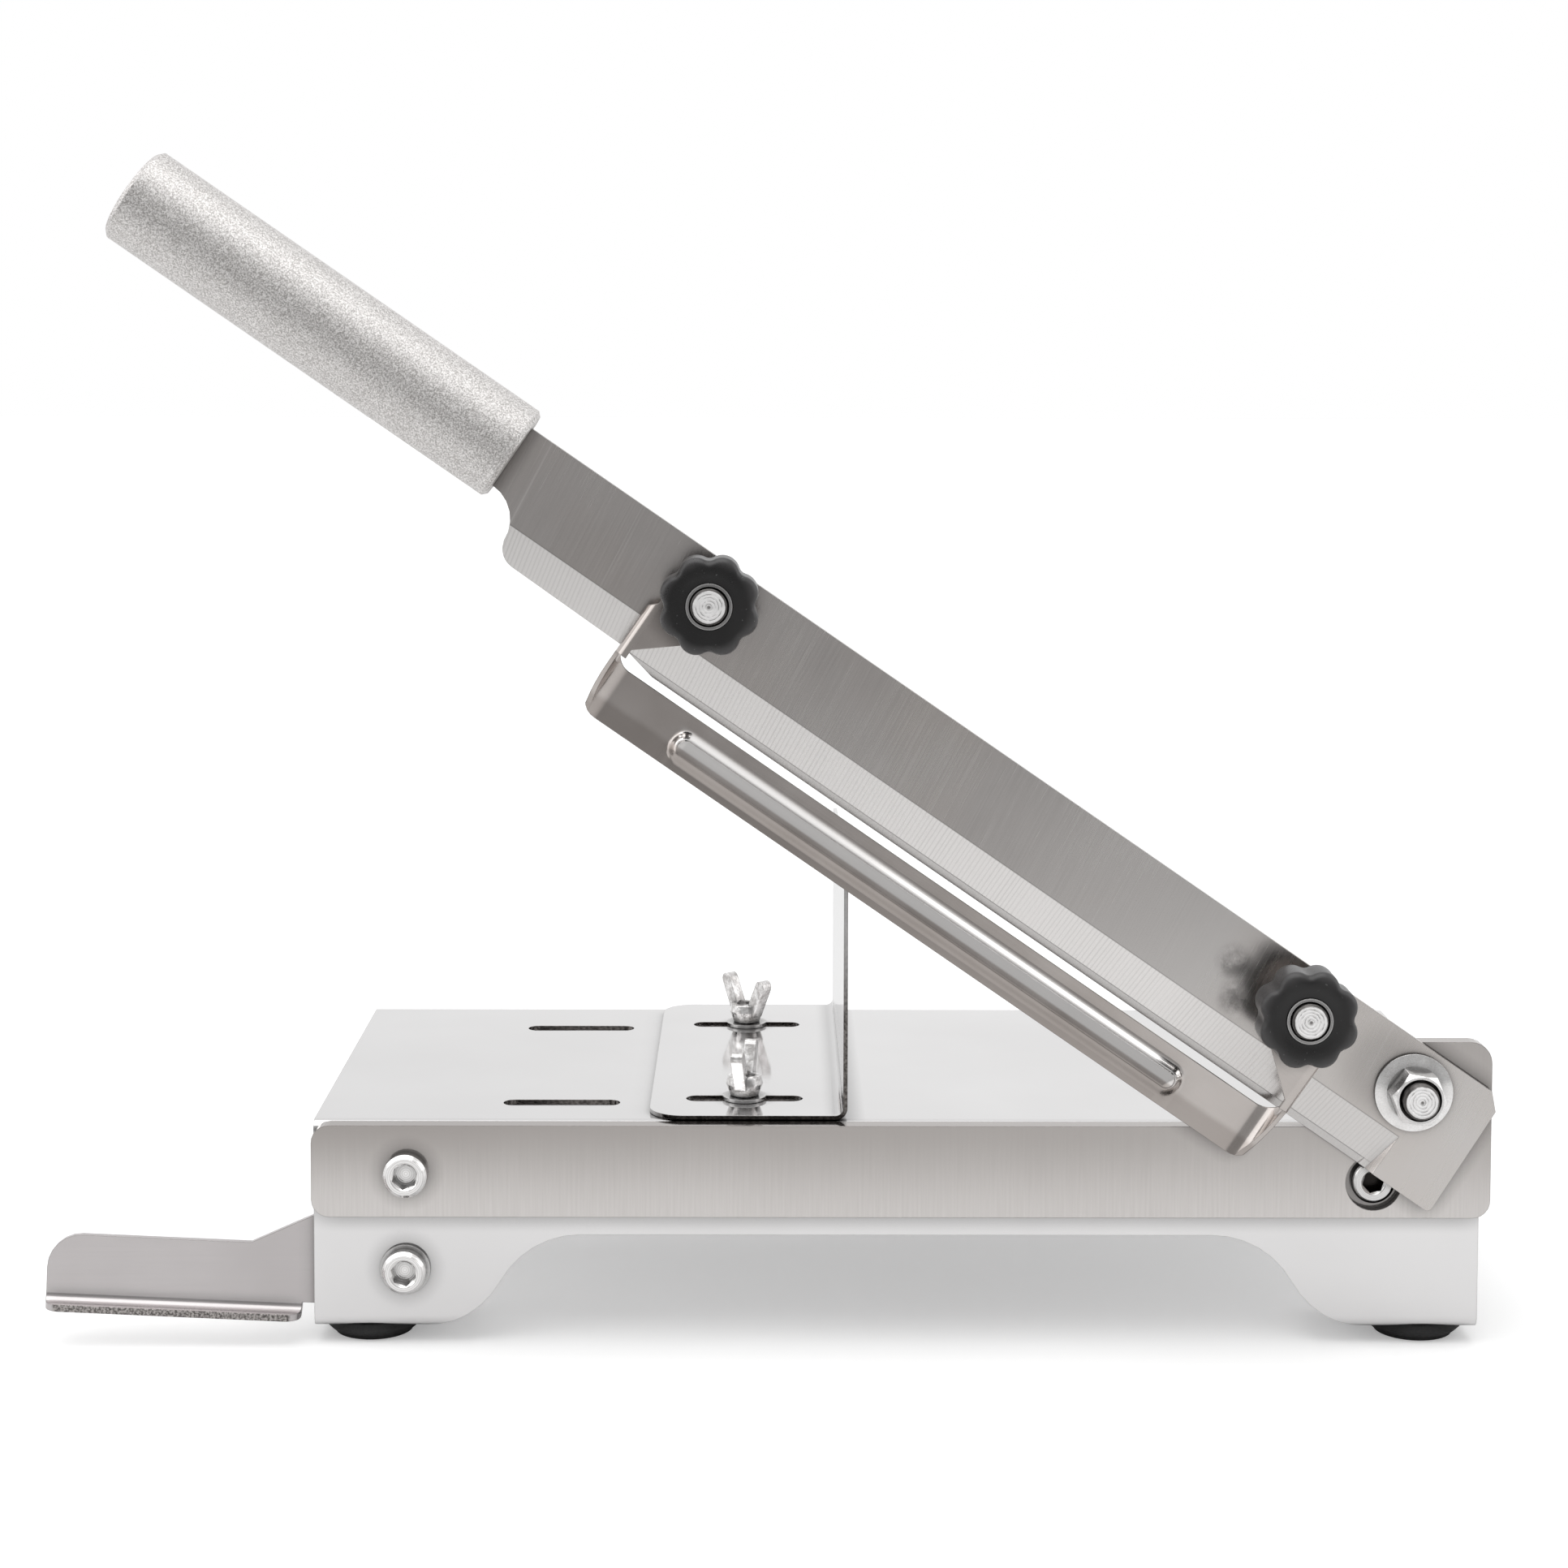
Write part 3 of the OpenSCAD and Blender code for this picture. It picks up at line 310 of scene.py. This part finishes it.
def blade_steel():
    """Ground across the blade; the bevel has plainer, more even lines, its edge finer ones."""
    s = Shader("blade_steel")
    u, v = s.dot(ALONG, PIVOT), s.dot(ACROSS, PIVOT)
    marks_dir, marks_cross = Vector((0.47, 0, 0.883)), Vector((0.883, 0, -0.47))
    flat_marks = s.lines(marks_dir, (marks_cross, DEPTH), 2100, 0.02)
    scratches = s.spread(s.lines(marks_dir, (marks_cross, DEPTH), 650, 0.012, 1.0), 0.72, 0.80)
    fine_marks = s.lines(ACROSS, (ALONG, DEPTH), 5200, 0.02, 2.0)
    # The wheel's lines fan a little: they lean one way at the heel, the other way at the handle
    lean = s.math("MULTIPLY_ADD", s.math("MULTIPLY_ADD", u, -1.2, 0.12), v, u)
    wobble = s.times(s.noise(s.vector(lean, 0.0, 0.0), 240, 2), 0.0012)
    comb = s.math("SINE", s.times(s.math("ADD", lean, wobble), TURN / 0.00125))
    comb = s.times(s.spread(comb, 0.25, 0.95),
                  s.spread(s.noise(s.vector(lean, 0.0, 0.0), 90, 2), 0.3, 0.6, 0.35, 1.0))
    # The bevel ends in a slanting facet at the heel, the second bevel in a round
    heel_end = s.math("MULTIPLY_ADD", v, -0.16, -0.0041 - 0.16 * BEVEL_LINE)
    ground = s.spread(s.math("SUBTRACT", u, heel_end), -0.0001, 0.0001)
    bevel = s.times(s.spread(v, -BEVEL_LINE + 0.05 * MM, -BEVEL_LINE - 0.05 * MM), ground)
    honed = s.times(s.spread(v, -HONE_LINE + 0.1 * MM, -HONE_LINE - 0.1 * MM),
                    s.spread(u, -0.0002, 0.0016, smooth=True))
    # Painted shadow: dark lines along the steps where the bevel and the second bevel start
    step_shadow = s.times(ground, s.math("MAXIMUM", *(
        s.spread(s.math("ABSOLUTE", s.math("ADD", v, line)), 0.0, 0.00025, dark, 0.0)
        for line, dark in ((BEVEL_LINE, 0.6), (HONE_LINE, 0.35)))))
    cloud = s.noise(s.place, 20, 3)
    stain = s.noise(s.place, 11, 3, 0.6)
    flat_tone = s.math("ADD", s.times(flat_marks, 0.5), s.times(cloud, 0.5))
    tint = s.mix(s.spread(flat_tone, 0.3, 0.7), grey(0.475, 0.055), grey(0.565, 0.05))
    # Painted light: the flat is painted lighter towards the pivot
    tint = s.mix(s.spread(u, 0.19, 0.02, 0.0, 0.62, smooth=True), tint, grey(0.66, 0.03))
    tint = s.mix(s.spread(stain, 0.45, 0.75, 0.0, 0.5), tint, (0.56, 0.49, 0.44))
    tint = s.mix(s.times(scratches, 0.22), tint, grey(0.85, 0.03))
    # Painted reflection of the lower knob: dark patches on the front beside it; and a painted shadow: a dark
    # ring by the pivot nut
    reflection_patches = s.spread(s.noise(s.place, 170, 4, 0.65), 0.36, 0.6)
    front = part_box("blade")[0][1]
    reflection_patches = s.times(reflection_patches, s.spread(s.dot(DEPTH), front + 0.0012, front + 0.0008))
    knob_reflection = s.times(reflection_patches, s.math("MAXIMUM", *(
        s.spot(KNOBS[1] + Vector((x, PIVOT.y - KNOBS[1].y, z)), size, 0.002)
        for x, z, size in ((-0.0172, 0.0115, 0.0066), (-0.0165, 0.0015, 0.0072)))))
    ring = s.times(s.spot(PIVOT + Vector((-0.008, 0, 0.006)), 0.017, 0.006), 0.28)
    tint = s.mix(s.math("MAXIMUM", s.times(knob_reflection, 0.62), ring), tint, grey(0.09, 0.05))
    bevel_tint = s.mix(s.spread(fine_marks, 0.3, 0.7), grey(0.75, 0.03), grey(0.79, 0.025))
    bevel_tint = s.mix(s.times(comb, 0.30), bevel_tint, grey(0.42, 0.04))
    bevel_tint = s.mix(s.spread(u, 0.08, 0.03, 0.0, 0.4, smooth=True), bevel_tint, grey(0.46, 0.04))
    tint = s.mix(bevel, tint, bevel_tint)
    tint = s.mix(honed, tint, s.mix(s.spread(fine_marks, 0.3, 0.7), grey(0.54, 0.03), grey(0.60, 0.03)))
    tint = s.mix(step_shadow, tint, grey(0.14, 0.06))
    tint = s.dark_edges(tint, 0.00035, 0.4, grey(0.20, 0.05))
    relief = s.times(flat_marks, s.spread(bevel, 0.0, 1.0, 1.0, 0.25))
    rough = s.spread(s.math("ADD", flat_marks, cloud), 0.7, 1.3, 0.2, 0.3)
    return s.finish(s.shade(tint, 0.005), rough, s.bump(relief, 0.00002, 0.3, edge=0.0002))


def blasted_aluminium():
    """Satin handle, blasted with beads: fine sparkling grain and small pits."""
    s = Shader("blasted_aluminium")
    grain = s.noise(s.place, 3600, 2, 0.6)
    coarse = s.noise(s.place, 1800, 2)
    tone = s.spread(s.math("ADD", grain, coarse), 0.8, 1.2)
    tint = s.mix(tone, grey(0.40, 0.05), grey(0.88, 0.02))
    tint = s.dark_edges(tint, 0.0005, 0.3, grey(0.35, 0.05))
    height = s.math("ADD", s.times(grain, 0.7), s.times(coarse, 0.3))
    return s.finish(s.shade(tint, 0.004), s.spread(coarse, 0.3, 0.7, 0.44, 0.56),
                    s.bump(height, 0.00010, 0.5, edge=0.0003))


def guide_steel():
    """Pressed sheet of the thickness guide, drawn smooth with faint marks along it."""
    s = Shader("guide_steel")
    marks = s.lines(ALONG, (ACROSS, DEPTH), 1600, 0.02)
    cloud = s.noise(s.place, 45, 4)
    stain = s.noise(s.place, 13, 2)
    tint = s.mix(s.spread(cloud, 0.3, 0.7), grey(0.42, 0.10), grey(0.52, 0.08))
    tint = s.mix(s.spread(stain, 0.4, 0.7, 0.0, 0.45), tint, grey(0.62, 0.05))
    # The rib's upper half gets a painted highlight, and a bump tilts it up a little; below it the sheet is
    # painted darker as shade
    d = s.math("ADD", s.dot(ACROSS, PIVOT), RIB_LINE)
    rib = s.times(s.between(s.dot(ALONG, PIVOT), 0.054, 0.2265, 5 * MM, smooth=True),
                  s.facing(DEPTH, 0.2, 0.5))
    rib_highlight = s.times(rib, s.spread(d, -0.0010, -0.0002, smooth=True),
                    s.spread(d, 0.0054, 0.0036, smooth=True))
    tint = s.mix(s.spread(s.math("MULTIPLY_ADD", cloud, 0.003, d), 0.0012, -0.0010, 0.0, 0.62, smooth=True),
                 tint, grey(0.30, 0.12))
    tint = s.mix(s.times(rib_highlight, 0.9), tint, grey(0.92, 0.02))
    roll = s.times(rib, s.spread(d, -0.0024, 0.0046, 1.0, 0.0, smooth=True))
    tint = s.dark_edges(tint, 0.00035, 0.6, grey(0.12, 0.08))
    rough = s.spread(s.math("ADD", marks, cloud), 0.7, 1.3, 0.09, 0.18)
    skin = s.bump(s.math("ADD", marks, cloud), 0.00002, 0.25, base=s.bump(roll, 0.0016, edge=0.0003))
    return s.finish(s.shade(tint, 0.005, 0.1), rough, skin)


def turned(name, centres=(), pitch=0.0006, tint=0.78, rough=(0.14, 0.26), hollow_shade=(0.003, 0.1, 1.5), face=None):
    """Bright fasteners, turned and plated; their AO settings say how much painted shade fills their hollows,
    and face says where the socket behind a head's front starts, painted near black as shade."""
    s = Shader(name)
    fine = s.noise(s.place, 2400, 3)
    cloud = s.noise(s.place, 220, 3)
    height = fine
    if centres:
        height = s.math("MULTIPLY_ADD", s.rings(centres, DEPTH, pitch), 0.7, s.times(fine, 0.3))
    tone = s.mix(s.spread(s.math("ADD", height, cloud), 0.75, 1.25),
                 grey(tint - 0.1, 0.02), grey(tint + 0.08, 0.01))
    tone = s.dark_edges(tone, 0.0003, 0.3, grey(0.25, 0.03))
    # Painted shade: the socket behind the head's front is painted near black
    if face is not None:
        tone = s.mix(s.spread(s.dot(DEPTH), face + 0.0004, face + 0.0009), tone, grey(0.02, 0.1))
    return s.finish(s.shade(tone, *hollow_shade), s.spread(cloud, 0.3, 0.7, *rough),
                    s.bump(height, 0.00003, 0.4, edge=0.0002))


def stud_steel(name, centres):
    """Studs: bright turned ends with dark broken rings; a dark centre pit and dark threads round them are
    painted shade.
    """
    s = Shader(name)
    r = s.radius(centres, DEPTH)
    fine = s.noise(s.place, 900, 3)
    wave = s.math("SINE", s.times(s.math("MULTIPLY_ADD", fine, 0.0005, r), TURN / 0.00088))
    ring = s.times(s.spread(wave, 0.2, 1.0), s.spread(s.noise(s.place, 420, 2), 0.42, 0.6))
    tint = s.mix(s.times(ring, 0.7), grey(0.96, 0.01), grey(0.22, 0.04))
    # Painted shade: a dark pit at the centre, and dark threads and chamfer round the end
    tint = s.mix(s.spread(r, 0.0002, 0.0008, smooth=True), grey(0.25, 0.04), tint)
    tint = s.mix(s.spread(r, 0.00432, 0.0045), tint, grey(0.13, 0.05))
    return s.finish(tint, s.spread(fine, 0.3, 0.7, 0.4, 0.55), s.bump(wave, 0.00008, 0.5))


def wire_steel():
    """Drawn spring wire."""
    s = Shader("wire_steel")
    fine = s.noise(s.place, 3000, 3)
    return s.finish(s.mix(fine, grey(0.38, 0.02), grey(0.55, 0.02)), s.spread(fine, 0.3, 0.7, 0.2, 0.34),
                    s.bump(fine, 0.00002, 0.3))


def cast_zinc():
    """Wing nuts: bright plated castings with a slightly wavy skin."""
    s = Shader("cast_zinc")
    wave = s.noise(s.place, 330, 2, 0.7)
    fine = s.noise(s.place, 2600, 2)
    tone = s.mix(s.spread(wave, 0.38, 0.6), grey(0.55, 0.03), grey(0.94, 0.01))
    tone = s.dark_edges(tone, 0.0004, 0.3, grey(0.25, 0.03))
    height = s.math("ADD", s.times(wave, 0.8), s.times(fine, 0.2))
    return s.finish(s.shade(tone, 0.004, 0.1), s.spread(wave, 0.3, 0.7, 0.07, 0.16),
                    s.bump(height, 0.00022, 0.7, edge=0.0006))


def moulded_plastic():
    """Black knobs: fine moulded satin, darkest round the insert; paler at the rim, partly rubbed wear and
    partly a painted highlight.
    """
    s = Shader("moulded_plastic")
    fine = s.noise(s.place, 1900, 3)
    cloud = s.noise(s.place, 90, 3)
    speck = s.spread(s.noise(s.place, 1300, 2), 0.72, 0.78, 0.0, 0.5)
    tint = s.mix(s.spread(cloud, 0.3, 0.7), (0.0045, 0.004, 0.0042), (0.0085, 0.0078, 0.008))
    # Paler towards the rim: partly rubbed wear, partly a painted highlight of the rounded rim
    rim = s.math("ADD", s.radius(KNOBS, DEPTH), s.times(s.math("SUBTRACT", cloud, 0.5), 0.002))
    tint = s.mix(s.spread(rim, 0.0100, 0.0138, 0.0, 1.0, smooth=True), tint, (0.046, 0.044, 0.045))
    tint = s.mix(speck, tint, (0.2, 0.2, 0.2))
    return s.finish(tint, s.spread(s.math("ADD", fine, cloud), 0.7, 1.3, 0.26, 0.38),
                    s.bump(fine, 0.00003, 0.25, edge=0.0006), metal=0.0)


def foot_rubber():
    """Black rubber, dull and a little dusty."""
    s = Shader("foot_rubber")
    fine = s.noise(s.place, 2200, 4)
    cloud = s.noise(s.place, 120, 3)
    tint = s.mix(s.spread(cloud, 0.3, 0.7), (0.005, 0.005, 0.005), (0.011, 0.011, 0.0115))
    return s.finish(tint, s.spread(fine, 0.3, 0.7, 0.55, 0.75), s.bump(fine, 0.00008, 0.5, edge=0.0003),
                    metal=0.0)


hardware, knob_plastic, zinc = turned("turned_steel"), moulded_plastic(), cast_zinc()
insert_steel = turned("insert_steel", KNOBS, tint=0.46, rough=(0.24, 0.38), hollow_shade=(0.004, 0.03, 2.5))
FINISHES = {
    "base_sheet": polished_sheet("polished_sheet", table_cuts),
    "meat_stop": polished_sheet("stop_sheet", stop_cuts),
    "cutting_bar": ground_bar(),
    "side_bracket": bracket_steel(),
    "blade": blade_steel(),
    "handle": blasted_aluminium(),
    "guide_bracket": guide_steel(),
    "guide_springs": wire_steel(),
    "rubber_feet": foot_rubber(),
    "upper_knob": knob_plastic,
    "lower_knob": knob_plastic,
    "upper_insert": insert_steel,
    "lower_insert": insert_steel,
    "near_wing_nut": zinc,
    "far_wing_nut": zinc,
    "guide_studs": stud_steel("stud_steel", KNOBS),
    "pivot_stud": stud_steel("pivot_steel", [PIVOT]),
    "pivot_nut": turned("nut_steel", tint=0.84, rough=(0.1, 0.22)),
    "cap_screws": turned("cap_steel", CAPS, tint=0.82, rough=(0.08, 0.18), hollow_shade=(0.003, 0.35, 1.5)),
    "bar_screw": turned("bar_screw_steel", BAR_SCREW, pitch=0.00045, tint=0.70, hollow_shade=(0.002, 0.3, 1.5),
                        face=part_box("bar_screw")[0][1]),
}
for name, obj in nodes.items():
    finish = FINISHES.get(name, hardware)
    if not obj.material_slots:
        obj.data.materials.append(finish)
    for slot in obj.material_slots:
        slot.material = finish


# ---------------------------------------------------------------- knobs, threads and springs
def add(name, data):
    """Puts a new object into the scene."""
    obj = bpy.data.objects.new(name, data)
    bpy.context.scene.collection.objects.link(obj)
    return obj


def ring_at(centre, y, radii):
    """Points round a centre in the plane at y, one for each radius."""
    step = TURN / len(radii)
    return [(centre.x + r * math.cos(k * step), y, centre.z + r * math.sin(k * step))
            for k, r in enumerate(radii)]


def strips(rings, closed=False):
    """Vertices of rings of equally many points, and the faces between them; closed joins the last ring
    to the first."""
    n, m = len(rings[0]), len(rings)
    verts = [p for ring in rings for p in ring]
    faces = [(i * n + k, i * n + (k + 1) % n, (i + 1) % m * n + (k + 1) % n, (i + 1) % m * n + k)
             for i in range(m if closed else m - 1) for k in range(n)]
    return verts, faces


def capped(rings):
    """A rod from rings, with a cap on both ends."""
    verts, faces = strips(rings)
    n = len(rings[0])
    return verts, faces + [tuple(reversed(range(n))), tuple(range(len(verts) - n, len(verts)))]


def make_piece(name, parts, finish, body, node):
    """One object from some closed meshes; it rides on a body and stands in for a node."""
    verts, faces = [], []
    for part_verts, part_faces in parts:
        faces += [tuple(i + len(verts) for i in f) for f in part_faces]
        verts += part_verts
    mesh = bpy.data.meshes.new(name)
    mesh.from_pydata(verts, [], faces)
    mesh.materials.append(finish)
    obj = add(name, mesh)
    mesh.shade_smooth()
    mesh.set_sharp_from_angle(angle=math.radians(35))
    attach(obj, body)
    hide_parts(node)


def thread(centre, rear, front, plain, head=()):
    """An M10 rod along Y with a helical thread: plain is the stretch of y without thread, head has the
    (y, radius) corners of a wider end."""
    r, pitch, chamfer, groove, sides = 5 * MM, 1.5 * MM, 0.6 * MM, 0.63 * MM, 40
    count = math.ceil((rear - front) / (pitch / 10))
    ys = {round(rear - (rear - front) * i / count, 7) for i in range(count + 1)}
    ys |= {round(y, 7) for y, _ in head}
    rings = []
    for y in sorted(ys, reverse=True):
        limit = r
        for (y0, r0), (y1, r1) in zip(head, head[1:]):
            if y1 <= y <= y0:
                limit = r0 + (r1 - r0) * (y0 - y) / (y0 - y1)
        if y - front < chamfer:
            limit = min(limit, r - chamfer + (y - front))
        cut = 0.0 if plain[0] <= y <= plain[1] else groove
        phases = [(y / pitch - k / sides) % 1.0 for k in range(sides)]
        rings.append(ring_at(centre, y, [min(limit, r - max(0.0, 1 - abs(2 * p - 1) * 1.15) * cut)
                                         for p in phases]))
    return capped(rings)


def spring(centre, base, rise):
    """A return spring with flat end turns, standing on the blade towards the front."""
    wire, r, turns, sides = 1.2 * MM, 6.56 * MM, 3.5, 12
    steps, rings = int(turns * 40), []
    for i in range(steps + 1):
        t = i / steps
        turn = TURN * turns * t
        climb = min(max((t * turns - 0.7) / (turns - 1.4), 0.0), 1.0)
        y = base - wire / 2 - (rise - wire) * climb
        section = []
        for a in (TURN * k / sides for k in range(sides)):
            q = r + wire / 2 * math.cos(a)
            section.append((centre.x + q * math.cos(turn), y + wire / 2 * math.sin(a),
                            centre.z + q * math.sin(turn)))
        rings.append(section)
    return capped(rings)


LOBES, LOBE_R, OUTER_R, VALLEY_R = 8, 4.8 * MM, 13.9 * MM, 12.35 * MM


def knob_rim(sides):
    """Radii of the knob's outline: lobes and hollows of touching arcs."""
    lobe_at, half = OUTER_R - LOBE_R, math.pi / LOBES
    c = math.cos(half)
    hollow_r = (lobe_at ** 2 + VALLEY_R ** 2 - 2 * lobe_at * VALLEY_R * c - LOBE_R ** 2) / (
        2 * (LOBE_R - VALLEY_R + lobe_at * c))
    hollow_at = VALLEY_R + hollow_r
    touch = math.atan2(lobe_at * hollow_r * math.sin(half), lobe_at * hollow_r * c + hollow_at * LOBE_R)
    rim = []
    for k in range(sides):
        angle = (TURN * k / sides) % (2 * half)
        off = min(angle, 2 * half - angle)
        if off < touch:
            reach = max(hollow_r ** 2 - (hollow_at * math.sin(off)) ** 2, 0.0)
            rim.append(hollow_at * math.cos(off) - math.sqrt(reach))
        else:
            reach = max(LOBE_R ** 2 - (lobe_at * math.sin(half - off)) ** 2, 0.0)
            rim.append(lobe_at * math.cos(half - off) + math.sqrt(reach))
    return rim


def knob(centre, rear, front):
    """A moulded knob with its bore: lobed sides, a domed front and a dished face."""
    rim, depth = knob_rim(24 * LOBES), rear - front
    bore, inner, dome_at, dome_rise, dome_share = 6.35 * MM, 7.2 * MM, depth - 2.5 * MM, 2.2 * MM, 0.44
    # (share of the way from the inner circle to the rim, height over the knob's back)
    profile = [(0.90, 0.0), (0.97, 0.12 * MM), (1.0, 0.6 * MM), (1.0, 3.0 * MM), (1.0, dome_at)]
    profile += [(1 - dome_share + dome_share * math.cos(t), dome_at + dome_rise * math.sin(t))
                for t in map(math.radians, range(8, 91, 6))]
    dish = depth - 0.6 * MM
    profile += [(0.20, depth - 0.42 * MM), (0.04, dish)]
    rings = []
    for share, height in profile:
        lobed = 1.0 if share > 0.8 else (share / 0.8) ** 2
        rings.append(ring_at(centre, rear - height, [
            inner + (VALLEY_R + (r - VALLEY_R) * lobed - inner) * share for r in rim]))
    rings += [ring_at(centre, rear - height, [bore] * len(rim)) for height in (dish, depth / 2, 0.0)]
    return strips(rings, closed=True)


blade_face = PIVOT.y
for name, centre in zip(("upper_knob", "lower_knob"), KNOBS):
    low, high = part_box(name)
    make_piece(name + "_moulding", [knob(centre, high[1], low[1])], knob_plastic, name, name)
low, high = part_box("guide_studs")
head = ((high[1], 6.75 * MM), (high[1] - 1.5 * MM, 5 * MM))
make_piece("guide_stud_threads",
           [thread(c, high[1], low[1], (blade_face - 0.3 * MM, high[1]), head) for c in KNOBS],
           FINISHES["guide_studs"], "blade", "guide_studs")
low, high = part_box("pivot_stud")
make_piece("pivot_stud_threads",
           [thread(PIVOT, high[1], low[1], (blade_face - 0.5 * MM, high[1] - 9 * MM))],
           FINISHES["pivot_stud"], "base", "pivot_stud")
low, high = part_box("guide_springs")
make_piece("spring_coils", [spring(c, high[1], high[1] - low[1]) for c in KNOBS],
           FINISHES["guide_springs"], "blade", "guide_springs")


# ---------------------------------------------------------------- stage and light
def floor():
    """White paper that ends in front of the object, as gloss sees it; the camera sees it all white."""
    size = 8.0
    mesh = bpy.data.meshes.new("floor")
    mesh.from_pydata([(-size, -size, 0), (size, -size, 0), (size, size, 0), (-size, size, 0)], [],
                     [(0, 1, 2, 3)])
    s = Shader("floor")
    path = s.node("ShaderNodeLightPath")
    paper = s.spread(s.dot(DEPTH), -1.1, -0.14, 0.42, 0.90, smooth=True)
    seen = s.mix(path.outputs["Is Glossy Ray"], grey(0.88), s.vector(paper, paper, paper))
    s.finish(seen, 0.9, metal=0.0, Specular_IOR_Level=0.0)
    glow = s.node("ShaderNodeEmission")
    s.put(glow.inputs["Strength"], s.times(path.outputs["Is Camera Ray"], 0.3))
    both = s.node("ShaderNodeAddShader")
    s.put(both.inputs[0], s.bsdf.outputs[0])
    s.put(both.inputs[1], glow.outputs[0])
    s.put(s.tree.nodes["Material Output"].inputs["Surface"], both.outputs[0])
    mesh.materials.append(s.mat)
    add("floor", mesh)


def world():
    """White to the camera and through glass; gloss sees a plain studio with darker parts."""
    w = bpy.data.worlds.new("studio")
    bpy.context.scene.world = w
    w.use_nodes = True
    s = Nodes(w.node_tree)
    back = s.tree.nodes["Background"]
    back.inputs["Color"].default_value = (1, 1, 1, 1)
    path = s.node("ShaderNodeLightPath").outputs
    split = s.node("ShaderNodeSeparateXYZ")
    s.put(split.inputs[0], s.node("ShaderNodeTexCoord").outputs["Generated"])
    x, y, z = split.outputs
    # The room behind the camera is darker near eye level
    front = s.spread(s.times(y, -1.0), 0.05, 0.75, smooth=True)
    dark = s.times(front, s.spread(z, 0.25, 1.0, 1.0, 0.0, smooth=True), 0.56)
    # The wall behind is a touch greyer towards the left and higher up
    left = s.spread(x, -0.16, 0.08, 0.13, 0.08, smooth=True)
    behind = s.times(s.spread(y, 0.3, 0.8, smooth=True), s.spread(z, 0.19, 0.27, 0.6, 1.0, smooth=True), left)
    glossy = s.times(path["Is Glossy Ray"], s.math("SUBTRACT", 1.0, s.math("ADD", dark, behind)))
    white = s.math("ADD", path["Is Camera Ray"], path["Is Transmission Ray"], clamp=True)
    # Everything else is lit by a softer white
    other = s.math("SUBTRACT", 1.0, s.math("ADD", white, path["Is Glossy Ray"], clamp=True))
    s.put(back.inputs["Strength"], s.math("ADD", s.math("ADD", white, glossy), s.times(other, 0.62)))


def sun(name, angle, strength, turn):
    """A soft light from above; all angles in degrees."""
    lamp = bpy.data.lights.new(name, "SUN")
    lamp.angle, lamp.energy = math.radians(angle), strength
    obj = add(name, lamp)
    obj.rotation_euler = [math.radians(a) for a in turn]


def softbox(name, place, size, watts):
    """A panel that looks at the object's middle."""
    middle = Vector((0, 0, 0.1))
    lamp = bpy.data.lights.new(name, "AREA")
    lamp.shape, lamp.size, lamp.size_y, lamp.energy = "RECTANGLE", size[0], size[1], watts
    obj = add(name, lamp)
    obj.location = place
    obj.rotation_euler = (middle - Vector(place)).to_track_quat("-Z", "Y").to_euler()


def camera():
    """Placed, turned and shifted as the photograph's framing needs."""
    cam = bpy.data.cameras.new("camera")
    obj = add("camera", cam)
    cam.sensor_width, cam.lens = 36.0, 69.01
    cam.shift_x, cam.shift_y = 0.0037, -0.18
    cam.clip_start, cam.clip_end = 0.01, 50
    obj.location = (-0.00005, -0.88697, 0.28846)
    obj.rotation_euler = [math.radians(a) for a in (86.56, -0.13, -0.205)]
    bpy.context.scene.camera = obj


floor()
world()
sun("top", 60, 1.1, (12, -6, 0))
softbox("left", (-1.3, -0.5, 0.9), (0.9, 1.1), 2.6)
softbox("right", (1.4, -0.2, 0.8), (0.8, 1.1), 2.0)
camera()
bpy.context.scene.view_settings.view_transform = "Standard"
